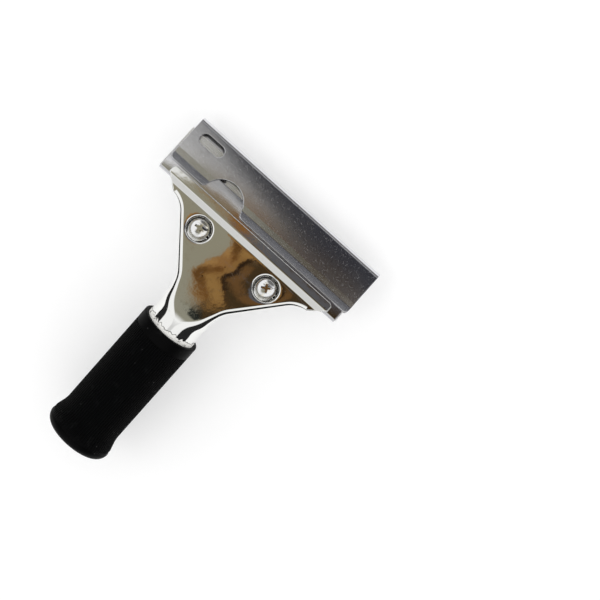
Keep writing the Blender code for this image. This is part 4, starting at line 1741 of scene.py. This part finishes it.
@dataclass
class Grip(Part):
    """The rubber grip: a closed sleeve with fine ribs along it and a flared end."""

    glue: Material
    wall: float = 1.8 * MM
    end_wall: float = 3.2 * MM
    collar: float = 5.0 * MM
    swell: float = 1.7 * MM
    flare_length: float = 13.0 * MM
    flare_steps: int = 24
    end_round: float = 4.0 * MM
    mouth_round: float = 0.5 * MM
    rib_count: int = 76
    rib_depth: float = 0.3 * MM
    rib_fade: float = 1.0 * MM
    rib_base: float = 0.43 * MM
    rib_top: float = 0.2 * MM
    rib_slope: float = 0.06 * MM
    rib_sink: float = 0.15 * MM
    rib_steps: int = 26
    sides: int = 152
    ring_seed: int = 7
    ring_sides: int = 240
    ring_waves: int = 44
    ring_height: float = 1.3 * MM
    ring_ragged: float = 2.0 * MM
    ring_wall: float = 0.22 * MM

    @property
    def bore(self) -> float:
        """The radius of the grip's inside."""
        return self.layout.tube_radius + self.layout.clearance

    @property
    def radius(self) -> float:
        """The grip's radius along its straight part."""
        return self.bore + self.wall

    @property
    def length(self) -> float:
        """The grip's whole length."""
        inside = self.layout.tube_length - self.layout.mouth_setback
        return inside + self.layout.clearance + self.end_wall

    @property
    def matrix(self) -> Matrix:
        """The grip's own frame as seen from the world: Z runs from its mouth to its end."""
        mouth = Matrix.Translation((0.0, -self.layout.mouth_setback, 0.0))
        return self.frames.tube @ mouth @ Matrix.Rotation(pi / 2, 4, "X")

    def radius_at(self, back: float) -> float:
        """Return the radius over the ribs at a distance back from the mouth.

        Args:
            back: The distance.

        Returns:
            The radius.
        """
        start = self.length - self.flare_length
        stop = self.length - self.end_round
        share = min(max((back - start) / (stop - start), 0.0), 1.0)
        return self.radius + self.swell * (1 - cos(pi * share)) / 2

    def build_sleeve(self) -> None:
        """Build the smooth sleeve under the ribs."""
        stop = self.length - self.end_round
        inside = self.length - self.end_wall
        lip = arc((self.bore + self.mouth_round / 2, self.mouth_round / 2), self.mouth_round / 2, pi,
                  3 * pi / 2)
        mouth = arc((self.radius - self.mouth_round, self.mouth_round), self.mouth_round, -pi / 2, 0.0)
        backs = [self.collar, self.collar + self.rib_fade]
        backs += [self.length - self.flare_length
                  + i * (self.flare_length - self.end_round) / self.flare_steps
                  for i in range(self.flare_steps)]
        outer = []
        for back in backs:
            sunk = 0.0 if back <= self.collar else self.rib_depth
            outer.append((self.radius_at(back) - sunk, back))
        end_radius = self.radius + self.swell
        end = arc((end_radius - self.end_round, stop), self.end_round, 0.0, pi / 2)
        profile = [(0.0, inside), (self.bore, inside)] + lip + mouth + outer + end
        profile += [(end_radius - self.end_round - 1.0 * MM, self.length), (0.0, self.length)]
        place_piece("grip_sleeve_core", lathe(profile, self.sides), self.matrix, self.material,
                    Body.HANDLE, ["grip_sleeve"])

    def build_ribs(self) -> None:
        """Build one rib and repeat it round the sleeve."""
        first = self.collar
        last = self.length - self.end_round
        backs = [first, first + self.rib_fade]
        backs += [first + self.rib_fade + (last - first - self.rib_fade) * i / self.rib_steps
                  for i in range(1, self.rib_steps + 1)]
        loops = []
        for i, back in enumerate(backs):
            top = self.radius_at(back)
            fade = 0.0 if i in (0, len(backs) - 1) else 1.0
            base = top - self.rib_depth
            crest = base + self.rib_depth * fade - (1.0 - fade) * 0.02 * MM
            sunk = base - self.rib_sink
            shoulder = crest - self.rib_slope
            loops.append([
                (sunk, -self.rib_base, back), (base, -self.rib_base, back),
                (shoulder, -self.rib_top * 1.2, back), (crest, -self.rib_top * 0.5, back),
                (crest, self.rib_top * 0.5, back), (shoulder, self.rib_top * 1.2, back),
                (base, self.rib_base, back), (sunk, self.rib_base, back),
            ])
        rib = linked("rib", drawn_mesh("rib", loft(loops)))
        ribs = grown(rib, rib_tree(), {
            "Count": self.rib_count,
            "Step": 2 * pi / self.rib_count,
            "Finish": self.material,
        }, "grip_ribs", self.matrix)
        settle_normals(ribs.data, self.matrix)
        attach(ribs, Body.HANDLE)

    def build_ring(self) -> None:
        """Build the torn rim of old glue that shows round the tube at the grip's mouth."""
        seeded = np.random.default_rng(self.ring_seed)
        order = np.arange(self.ring_waves)[:, None]
        waves = seeded.normal(size=(self.ring_waves, 2)) / (order + 2) ** 0.35
        angles = 2 * pi * np.arange(self.ring_sides) / self.ring_sides
        turns = (order + 3) * angles[None, :]
        ragged = (waves[:, :1] * np.cos(turns) + waves[:, 1:] * np.sin(turns)).sum(0)
        ragged = (ragged - ragged.min()) / (ragged.max() - ragged.min())
        inner = self.layout.tube_radius + 0.01 * MM
        loops: list[list[Point3]] = [[] for _ in range(4)]
        for angle, share in zip(angles, ragged):
            height = self.ring_height + self.ring_ragged * float(share)
            swell = self.ring_wall * (0.6 + 0.4 * sin(5 * angle))
            rings = ((inner, 0.2 * MM), (inner + swell, 0.2 * MM),
                     (inner + swell * 0.7, -height * 0.8), (inner, -height))
            for loop, (radius, z) in zip(loops, rings):
                loop.append((radius * cos(angle), radius * sin(angle), z))
        place_piece("grip_glue_ring", loft(loops, capped=False), self.matrix, self.glue,
                    Body.HANDLE)

    def build(self) -> None:
        """Build the grip and the glue at its mouth."""
        self.build_sleeve()
        self.build_ribs()
        self.build_ring()


# Finishes


def rgba(colour: Colour) -> tuple[float, float, float, float]:
    """Return a colour with full opacity."""
    return (*colour, 1.0)


WHITE = rgba((1.0, 1.0, 1.0))


class Effects:
    """The surface effects that several finishes share, each a node group built once."""

    def __init__(self) -> None:
        """Build every group."""
        self.scratches = self.build_scratches()
        self.brushing = self.build_brushing()
        self.smudges = self.build_smudges()
        self.specks = self.build_specks()

    def build_scratches(self) -> NodeTree:
        """Return fine scratches in several directions, as a mask."""
        tree = Group("scratches", "Shader", {
            "Vector": "Vector", "Scale": "Float", "Threshold": "Float",
        }, {"Mask": "Float"})
        total = None
        for turn, seed in ((0.25, 1.0), (1.35, 7.0), (2.3, 13.0), (2.85, 21.0)):
            spun = tree.node("ShaderNodeMapping", {
                "Vector": tree.given["Vector"], "Location": (seed, seed * 0.37, 0.0),
                "Rotation": (0.0, 0.0, turn), "Scale": (25.0, 1.0, 1.0),
            }, vector_type="TEXTURE")
            noise = tree.node("ShaderNodeTexNoise", {
                "Vector": spun.outputs["Vector"], "Scale": tree.given["Scale"], "Detail": 1.5,
            })
            over = tree.math("SUBTRACT", noise.outputs["Fac"], tree.given["Threshold"])
            line = tree.math("MULTIPLY", over, 30.0, clamp=True)
            total = line if total is None else tree.math("MAXIMUM", total, line)
        return tree.close({"Mask": total})

    def build_brushing(self) -> NodeTree:
        """Return the fine lines of brushing along X, as a height."""
        tree = Group("brushing", "Shader", {"Vector": "Vector", "Scale": "Float"},
                     {"Height": "Float"})
        drawn = tree.node("ShaderNodeMapping", {
            "Vector": tree.given["Vector"], "Scale": (0.02, 1.0, 1.0),
        })
        noise = tree.node("ShaderNodeTexNoise", {
            "Vector": drawn.outputs["Vector"], "Scale": tree.given["Scale"], "Detail": 3.0,
        })
        return tree.close({"Height": noise.outputs["Fac"]})

    def build_smudges(self) -> NodeTree:
        """Return soft patches, as a mask and as a height."""
        tree = Group("smudges", "Shader", {
            "Vector": "Vector", "Scale": "Float", "Cover": "Float",
        }, {"Mask": "Float", "Height": "Float"})
        noise = tree.node("ShaderNodeTexNoise", {
            "Vector": tree.given["Vector"], "Scale": tree.given["Scale"], "Detail": 4.0,
            "Roughness": 0.6,
        })
        low = tree.math("SUBTRACT", 0.62, tree.given["Cover"])
        over = tree.math("SUBTRACT", noise.outputs["Fac"], low)
        mask = tree.math("MULTIPLY", over, 6.0, clamp=True)
        return tree.close({"Mask": mask, "Height": noise.outputs["Fac"]})

    def build_specks(self) -> NodeTree:
        """Return small scattered specks, as a mask."""
        tree = Group("specks", "Shader", {
            "Vector": "Vector", "Scale": "Float", "Size": "Float", "Share": "Float",
        }, {"Mask": "Float"})
        cells = tree.node("ShaderNodeTexVoronoi", {
            "Vector": tree.given["Vector"], "Scale": tree.given["Scale"],
        })
        split = tree.node("ShaderNodeSeparateColor", {"Color": cells.outputs["Color"]})
        near = tree.math("LESS_THAN", cells.outputs["Distance"], tree.given["Size"])
        kept = tree.math("LESS_THAN", split.outputs[0], tree.given["Share"])
        return tree.close({"Mask": tree.math("MULTIPLY", near, kept)})


class Surface(Graph):
    """A new material, with its shader and the coordinates of the frame it is drawn in."""

    def __init__(self, name: str, frames: Frames) -> None:
        """Make the material.

        Args:
            name: The finish's name.
            frames: The frames, of which the head's gives the coordinates.
        """
        self.material = bpy.data.materials.new(name)
        self.material.use_nodes = True
        super().__init__(self.material.node_tree)
        where = self.node("ShaderNodeTexCoord")
        turned = self.node("ShaderNodeMapping", {
            "Vector": where.outputs["Object"],
            "Location": tuple(frames.head.translation),
            "Rotation": tuple(frames.head.to_euler()),
        }, vector_type="TEXTURE")
        self.place = turned.outputs["Vector"]

    def effect(self, group: NodeTree, **values: float) -> bpy.types.NodeOutputs:
        """Place a shared effect with its own values, named in lower case, and return its outputs."""
        inputs = {name.capitalize(): value for name, value in values.items()}
        return self.group(group, {"Vector": self.place, **inputs})

    def tinted(self, colour: object, tint: Colour, mask: NodeSocket,
               share: float) -> NodeSocket:
        """Mix a share of a tint into a colour under a mask and return the result.

        Args:
            colour: The colour or its output.
            tint: The tint.
            mask: Where it lies, from 0 to 1.
            share: How much of it shows there.

        Returns:
            The mixed colour.
        """
        return self.mix(self.math("MULTIPLY", mask, share), colour, rgba(tint))

    def bump(self, height: NodeSocket, distance: float,
             under: NodeSocket | None = None) -> NodeSocket:
        """Add a bump and return its normal.

        Args:
            height: The height, from 0 to 1.
            distance: What a height of 1 measures.
            under: The normal of a bump below it.

        Returns:
            The new normal.
        """
        inputs = {"Height": height, "Distance": distance, "Strength": 1.0}
        if under:
            inputs["Normal"] = under
        return self.node("ShaderNodeBump", inputs).outputs["Normal"]

    def metal(self, colour: NodeSocket, rough: NodeSocket,
              normal: NodeSocket) -> Material:
        """Finish the material as bare metal and return it."""
        return self.finish({
            "Base Color": colour, "Metallic": 1.0, "Roughness": rough, "Normal": normal,
        })

    def finish(self, inputs: dict[str, object]) -> Material:
        """Set or link the shader's named inputs and return the material.

        Args:
            inputs: A value or an output for each input.

        Returns:
            The material.
        """
        shader = self.tree.nodes["Principled BSDF"]
        for name, value in inputs.items():
            self.feed(shader.inputs[name], value)
        return self.material


@dataclass(frozen=True)
class Finish:
    """What every finish is made from: the shared effects, and the frames for its coordinates."""

    effects: Effects
    frames: Frames


@dataclass(frozen=True)
class ChromePlate(Finish):
    """Bright chrome on pressed steel, a little wavy, with hairlines, pits and smudges whose olive tint
    is partly a painted reflection of the olive and brown surroundings.
    """

    colour: Colour = (0.86, 0.86, 0.84)
    # olive tint: partly smudge colour, partly a painted reflection of the surroundings that the chrome
    # mirrors
    tint: Colour = (0.62, 0.6, 0.5)
    pit: Colour = (0.12, 0.1, 0.08)
    roughness: float = 0.045
    smudge_rough: float = 0.07
    line_rough: float = 0.12
    wave: float = 0.035 * MM

    def material(self) -> Material:
        """Make the finish's material.

        Returns:
            The material.
        """
        made = Surface("chrome_plate", self.frames)
        smudge = made.effect(self.effects.smudges, scale=170.0, cover=0.04)["Mask"]
        wave = made.effect(self.effects.smudges, scale=70.0, cover=0.0)["Height"]
        lines = made.effect(self.effects.scratches, scale=3200.0, threshold=0.72)["Mask"]
        pits = made.effect(self.effects.specks, scale=420.0, size=0.13, share=0.05)["Mask"]
        # painted reflection: the olive tint under the smudge mask stands partly for the olive
        # surroundings mirrored in the chrome
        colour = made.tinted(rgba(self.colour), self.tint, smudge, share=0.35)
        colour = made.mix(pits, colour, rgba(self.pit))
        rough = made.math("MULTIPLY_ADD", smudge, self.smudge_rough, self.roughness)
        rough = made.math("ADD", rough, made.math("MULTIPLY", lines, self.line_rough))
        normal = made.bump(wave, self.wave)
        return made.metal(colour, rough, normal)


@dataclass(frozen=True)
class WornStainless(Finish):
    """Half bright stainless sheet, brushed, and scratched where it is handled."""

    name: str = "worn_stainless"
    colour: Colour = (0.7, 0.7, 0.72)
    dark: Colour = (0.36, 0.35, 0.34)
    scratch: Colour = (0.95, 0.95, 0.95)
    roughness: float = 0.15
    smudge_rough: float = 0.04
    scratched: float = 0.22
    brushed: float = 0.0025 * MM
    wave: float = 0.05 * MM

    def material(self) -> Material:
        """Make the finish's material.

        Returns:
            The material.
        """
        made = Surface(self.name, self.frames)
        smudge = made.effect(self.effects.smudges, scale=110.0, cover=0.06)["Mask"]
        wave = made.effect(self.effects.smudges, scale=45.0, cover=0.0)["Height"]
        grain = made.effect(self.effects.brushing, scale=6000.0)["Height"]
        lines = made.effect(self.effects.scratches, scale=7500.0, threshold=0.715)["Mask"]
        specks = made.effect(self.effects.specks, scale=500.0, size=0.16, share=0.06)["Mask"]
        colour = made.tinted(rgba(self.colour), self.dark, smudge, share=0.3)
        colour = made.mix(specks, colour, rgba(self.dark))
        colour = made.tinted(colour, self.scratch, lines, share=0.4)
        rough = made.math("MULTIPLY_ADD", lines, self.scratched, self.roughness)
        rough = made.math("ADD", rough, made.math("MULTIPLY", smudge, self.smudge_rough))
        normal = made.bump(grain, self.brushed, under=made.bump(wave, self.wave))
        return made.metal(colour, rough, normal)


@dataclass(frozen=True)
class OiledSteel(Finish):
    """Ground blade steel under a thin film of old oil."""

    colour: Colour = (0.88, 0.88, 0.86)
    oil: Colour = (0.6, 0.61, 0.5)
    roughness: float = 0.18
    grain_rough: float = 0.2
    ground: float = 0.006 * MM

    def material(self) -> Material:
        """Make the finish's material.

        Returns:
            The material.
        """
        made = Surface("oiled_blade_steel", self.frames)
        film = made.effect(self.effects.smudges, scale=130.0, cover=0.12)["Mask"]
        grain = made.effect(self.effects.brushing, scale=9000.0)["Height"]
        specks = made.effect(self.effects.specks, scale=450.0, size=0.2, share=0.05)["Mask"]
        colour = made.tinted(rgba(self.colour), self.oil, film, share=0.6)
        colour = made.mix(specks, colour, rgba(self.oil))
        rough = made.math("MULTIPLY_ADD", grain, self.grain_rough, self.roughness)
        normal = made.bump(grain, self.ground)
        return made.metal(colour, rough, normal)


@dataclass(frozen=True)
class ZincPlate(Finish):
    """Bright zinc plate with a faint yellow passivation."""

    colour: Colour = (0.83, 0.83, 0.83)
    yellow: Colour = (0.8, 0.72, 0.5)
    roughness: float = 0.05
    line_rough: float = 0.2
    wave: float = 0.006 * MM

    def material(self) -> Material:
        """Make the finish's material.

        Returns:
            The material.
        """
        made = Surface("bright_zinc", self.frames)
        tint = made.effect(self.effects.smudges, scale=260.0, cover=0.1)
        lines = made.effect(self.effects.scratches, scale=2500.0, threshold=0.66)["Mask"]
        colour = made.tinted(rgba(self.colour), self.yellow, tint["Mask"], share=0.6)
        rough = made.math("MULTIPLY_ADD", lines, self.line_rough, self.roughness)
        normal = made.bump(tint["Height"], self.wave)
        return made.metal(colour, rough, normal)


@dataclass(frozen=True)
class BlackRubber(Finish):
    """Deep black moulded rubber with a little pale dust."""

    colour: Colour = (0.0008, 0.0008, 0.0009)
    dust: Colour = (0.05, 0.05, 0.05)
    roughness: float = 0.5
    wear_rough: float = 0.12
    wear_share: float = 0.1
    dust_share: float = 0.6
    specular: float = 0.05
    wave: float = 0.03 * MM

    def material(self) -> Material:
        """Make the finish's material.

        Returns:
            The material.
        """
        made = Surface("black_rubber", self.frames)
        wear = made.effect(self.effects.smudges, scale=240.0, cover=0.02)
        dust = made.effect(self.effects.specks, scale=700.0, size=0.2, share=0.05)["Mask"]
        share = made.math("MULTIPLY", wear["Mask"], self.wear_share)
        share = made.math("ADD", share, made.math("MULTIPLY", dust, self.dust_share))
        return made.finish({
            "Base Color": made.mix(share, rgba(self.colour), rgba(self.dust)),
            "Roughness": made.math("MULTIPLY_ADD", wear["Mask"], self.wear_rough, self.roughness),
            "Specular IOR Level": self.specular,
            "Normal": made.bump(wear["Height"], self.wave),
        })


@dataclass(frozen=True)
class OldGlue(Finish):
    """Pale dried glue."""

    colour: Colour = (0.9, 0.89, 0.85)
    stain: Colour = (0.03, 0.03, 0.025)
    roughness: float = 0.5
    wave: float = 0.08 * MM

    def material(self) -> Material:
        """Make the finish's material.

        Returns:
            The material.
        """
        made = Surface("old_glue", self.frames)
        stain = made.effect(self.effects.smudges, scale=480.0, cover=0.08)
        return made.finish({
            "Base Color": made.mix(stain["Mask"], rgba(self.colour), rgba(self.stain)),
            "Roughness": self.roughness,
            "Normal": made.bump(stain["Height"], self.wave),
        })


# The studio


@dataclass(frozen=True)
class CardPatch:
    """One soft patch of colour on the card that the flat metal mirrors, in millimetres."""

    x: float
    y: float
    width: float
    height: float
    softness: float
    colour: Colour


PATCHES = (
    CardPatch(-6, 5, 84, 62, 0.10, (0.28, 0.26, 0.19)),
    CardPatch(0, -70, 84, 84, 0.90, (0.29, 0.28, 0.22)),
    CardPatch(-80, 88, 75, 30, 0.30, (0.45, 0.45, 0.44)),
    CardPatch(50, 160, 140, 102, 0.10, (0.018, 0.020, 0.029)),
    CardPatch(0, 172, 160, 16, 0.60, (0.32, 0.32, 0.33)),
    CardPatch(38, 16, 44, 56, 0.25, (0.05, 0.03, 0.012)),
    CardPatch(-5.5, 33, 14.5, 23, 0.30, (0.25, 0.13, 0.040)),
    CardPatch(-13, 43, 9, 12, 0.45, (0.26, 0.13, 0.042)),
    CardPatch(-12, 27, 5, 9, 1.20, (0.11, 0.048, 0.012)),
    CardPatch(-6, 38, 4, 6, 1.20, (0.13, 0.055, 0.013)),
    CardPatch(-7, 18, 6, 4, 1.10, (0.15, 0.065, 0.016)),
    CardPatch(-17, 39, 4, 5, 1.00, (0.33, 0.18, 0.06)),
    CardPatch(0, 24, 5, 7, 1.00, (0.29, 0.16, 0.05)),
    CardPatch(17, 42, 7, 9, 0.80, (0.13, 0.065, 0.022)),
    CardPatch(7.5, 38, 2.6, 16, 0.70, (0.016, 0.008, 0.004)),
    CardPatch(-2.5, -28, 4, 41, 0.60, (0.006, 0.009, 0.008)),
    CardPatch(20, 53, 40, 4.5, 0.70, (0.1, 0.1, 0.11)),
    CardPatch(-30, 58, 18, 5, 0.35, (0.26, 0.19, 0.11)),
    CardPatch(-15, 58, 8, 4.5, 0.50, (0.22, 0.10, 0.025)),
)


@dataclass
class Studio:
    """The floor, the light, the surroundings that metal mirrors, and the camera."""

    frames: Frames
    lens: float = 208.586
    sensor: float = 36.0
    place: Point3 = (0.03532709, 0.4036814, 1.44507005)
    right: Point3 = (0.744374, 0.647034, -0.165086)
    down: Point3 = (0.667759, -0.722034, 0.181009)
    floor_half: float = 3.0
    floor_clearance: float = 0.2 * MM
    floor_colour: Colour = (0.8, 0.8, 0.8)
    floor_lift: float = 0.24
    card_height: float = 0.3
    card_half: Point2 = (0.3, 0.2)
    front_wall: float = 0.8
    patch_wobble: float = 0.0045
    wall_dark: float = 0.02
    wall_blur: float = 2.0
    strip_share: float = 0.3
    strip: Point2 = (4.0, 11.0)
    strip_fade: float = -0.34
    front_share: float = 0.85
    right_wall: Point2 = (43.0, 91.0)
    left_wall: Point2 = (-97.0, -57.0)
    lamp_power: float = 0.6
    lamp_size: float = 0.5
    lamp_place: Point3 = (-0.35, -0.15, 0.9)

    def build(self) -> None:
        """Build everything round the object."""
        self.build_world()
        self.build_card()
        self.build_floor()
        self.build_lamp()
        self.build_camera()
        bpy.context.scene.view_settings.view_transform = "Standard"

    def build_world(self) -> None:
        """Build a white world whose walls at both ends are dark in the metal's reflections."""
        world = bpy.data.worlds.new("studio")
        world.use_nodes = True
        world.node_tree.nodes.clear()
        tree = Graph(world.node_tree)
        where = tree.node("ShaderNodeTexCoord")
        split = tree.node("ShaderNodeSeparateXYZ", {"Vector": where.outputs["Generated"]})
        lean = tree.math("ARCTAN2", split.outputs["X"], split.outputs["Z"])
        degrees = tree.math("MULTIPLY", lean, 180.0 / pi)
        dark = None
        for low, high in (self.right_wall, self.left_wall):
            above = tree.between(degrees, low - self.wall_blur, low + self.wall_blur)
            below = tree.between(degrees, high - self.wall_blur, high + self.wall_blur, 1.0, 0.0)
            wall = tree.math("MULTIPLY", above, below)
            dark = wall if dark is None else tree.math("MAXIMUM", dark, wall)
        off = tree.math("ABSOLUTE", degrees)
        strip = tree.between(off, *self.strip, self.strip_share, 0.0)
        behind = tree.between(split.outputs["Y"], self.strip_fade, 0.0, 1.0, 0.0)
        dark = tree.math("MAXIMUM", dark, tree.math("MULTIPLY", strip, behind))
        ahead = tree.between(split.outputs["Y"], self.front_wall, self.front_wall + 0.1, 0.0,
                             self.front_share)
        dark = tree.math("MAXIMUM", dark, ahead)
        path = tree.node("ShaderNodeLightPath")
        share = tree.math("MULTIPLY", dark, path.outputs["Is Glossy Ray"])
        colour = tree.mix(share, WHITE, rgba((self.wall_dark,) * 3))
        sky = tree.node("ShaderNodeBackground", {"Color": colour, "Strength": 1.0})
        tree.node("ShaderNodeOutputWorld", {"Surface": sky.outputs["Background"]})
        bpy.context.scene.world = world

    def patch_group(self) -> NodeTree:
        """Return the group that masks one soft patch."""
        tree = Group("card_patch", "Shader", {
            "Vector": "Vector", "Middle": "Vector", "Size": "Vector", "Softness": "Float",
        }, {"Mask": "Float"})
        away = tree.vector("SUBTRACT", tree.given["Vector"], tree.given["Middle"])
        scaled = tree.vector("DIVIDE", away.outputs["Vector"], tree.given["Size"])
        reach = tree.vector("LENGTH", scaled.outputs["Vector"])
        inside = tree.math("SUBTRACT", 1.0, reach.outputs["Value"])
        share = tree.math("DIVIDE", inside, tree.given["Softness"])
        middle = tree.math("ADD", share, 0.5)
        return tree.close({"Mask": tree.between(middle, 0.0, 1.0)})

    def rectangle(self, name: str, half: Point2, face: Sequence[int], matrix: Matrix,
                  material: Material) -> Object:
        """Return a rectangle of the studio's own.

        Args:
            name: Its name.
            half: Half its width and half its length.
            face: Its corners in the order that gives its facing.
            matrix: Its place, with the middle at the origin.
            material: Its finish.

        Returns:
            The rectangle, not yet staged.
        """
        x, y = half
        mesh = bpy.data.meshes.new(name)
        mesh.from_pydata([(-x, -y, 0.0), (x, -y, 0.0), (x, y, 0.0), (-x, y, 0.0)], [], [face])
        mesh.materials.append(material)
        sheet = linked(name, mesh)
        sheet.matrix_world = matrix
        return sheet

    def build_card(self) -> None:
        """Build the card above the tool, whose soft patches only glossy rays see."""
        material = bpy.data.materials.new("mottled_card")
        material.use_nodes = True
        material.node_tree.nodes.clear()
        tree = Graph(material.node_tree)
        where = tree.node("ShaderNodeTexCoord").outputs["Object"]
        noise = tree.node("ShaderNodeTexNoise", {"Vector": where, "Scale": 70.0, "Detail": 3.0})
        centred = tree.vector("SUBTRACT", noise.outputs["Color"], (0.5, 0.5, 0.5))
        wobble = tree.vector("MULTIPLY_ADD", centred.outputs["Vector"],
                             (self.patch_wobble * 2,) * 3, where)
        flat = tree.vector("MULTIPLY", wobble.outputs["Vector"], (1.0, 1.0, 0.0))
        colour: object = WHITE
        group = self.patch_group()
        for patch in PATCHES:
            mask = tree.group(group, {
                "Vector": flat.outputs["Vector"],
                "Middle": (patch.x * MM, patch.y * MM, 0.0),
                "Size": (patch.width * MM, patch.height * MM, 1.0),
                "Softness": patch.softness,
            })
            colour = tree.mix(mask["Mask"], colour, rgba(patch.colour))
        glow = tree.node("ShaderNodeEmission", {"Color": colour, "Strength": 1.0})
        tree.node("ShaderNodeOutputMaterial", {"Surface": glow.outputs["Emission"]})
        place = self.frames.head @ Matrix.Translation((0.0, 0.0, self.card_height))
        card = self.rectangle("mottled_card", self.card_half, (3, 2, 1, 0), place, material)
        for ray in ("camera", "diffuse", "transmission", "volume_scatter", "shadow"):
            setattr(card, f"visible_{ray}", False)

    def build_floor(self) -> None:
        """Build the plain pale floor, which keeps the object's shadow.

        It lies as low as the guard goes when it slides off, so that it hides no piece then.
        """
        joints = {joint["name"]: joint for joint in frame["record"]["behaviour"]["joints"]}
        slide = joints["guard_slide"]
        level = slide["axis"][2] * slide["range_m"][1] - self.floor_clearance
        material = bpy.data.materials.new("pale_floor")
        material.use_nodes = True
        tree = Graph(material.node_tree)
        path = tree.node("ShaderNodeLightPath").outputs
        seen = tree.math("MAXIMUM", path["Is Camera Ray"], path["Is Glossy Ray"])
        inputs = {
            "Base Color": rgba(self.floor_colour),
            "Roughness": 1.0,
            "Specular IOR Level": 0.0,
            "Emission Color": WHITE,
            "Emission Strength": tree.math("MULTIPLY", seen, self.floor_lift),
        }
        for name, value in inputs.items():
            tree.feed(tree.tree.nodes["Principled BSDF"].inputs[name], value)
        place = Matrix.Translation((0.0, 0.0, level))
        floor = self.rectangle("floor", (self.floor_half,) * 2, (0, 1, 2, 3), place, material)

    def build_lamp(self) -> None:
        """Build one wide soft lamp above the tool."""
        data = bpy.data.lights.new("soft_lamp", "AREA")
        data.shape = "DISK"
        data.size = self.lamp_size
        data.energy = self.lamp_power
        lamp = linked("soft_lamp", data)
        lamp.location = self.lamp_place
        lamp.rotation_euler = Vector(self.lamp_place).to_track_quat("Z", "Y").to_euler()
        lamp.visible_glossy = False

    def build_camera(self) -> None:
        """Build the camera at the photograph's angle."""
        data = bpy.data.cameras.new("camera")
        data.lens = self.lens
        data.sensor_width = self.sensor
        data.clip_start = 0.01
        data.clip_end = 20.0
        right = Vector(self.right)
        up = -Vector(self.down)
        turn = Matrix((right, up, right.cross(up))).transposed().to_4x4()
        camera = linked("camera", data)
        camera.matrix_world = Matrix.Translation(self.place) @ turn
        bpy.context.scene.camera = camera


def main() -> None:
    """Build the scraper's pieces in order, then the studio round them."""
    logging.basicConfig(level=logging.INFO, format="%(name)s: %(message)s")
    layout = Layout()
    frames = Frames.from_record(frame["record"], layout)
    effects = Effects()
    chrome = ChromePlate(effects, frames).material()
    stainless = WornStainless(effects, frames).material()
    steel = OiledSteel(effects, frames).material()
    zinc = ZincPlate(effects, frames).material()
    rubber = BlackRubber(effects, frames).material()
    glue = OldGlue(effects, frames).material()
    Handle(layout, frames, chrome).build()
    Grip(layout, frames, rubber, glue).build()
    Jaw(layout, frames, chrome).build()
    polished = WornStainless(effects, frames, "polished_stainless", roughness=0.06, scratched=0.05,
                             wave=0.03 * MM)
    channel = Channel(layout, frames, polished.material())
    channel.build()
    Blade(layout, frames, steel).build()
    Guard(layout, frames, stainless, channel).build()
    thread = thread_tree()
    turns = {Side.LEFT: radians(4.0), Side.RIGHT: radians(32.0)}
    for side in Side:
        Screw(layout, frames, zinc, side, turns[side], thread).build()
        SpringWasher(layout, frames, zinc, side).build()
        Nut(layout, frames, zinc, side).build()
    Studio(frames).build()


if __name__ == "__main__":
    main()
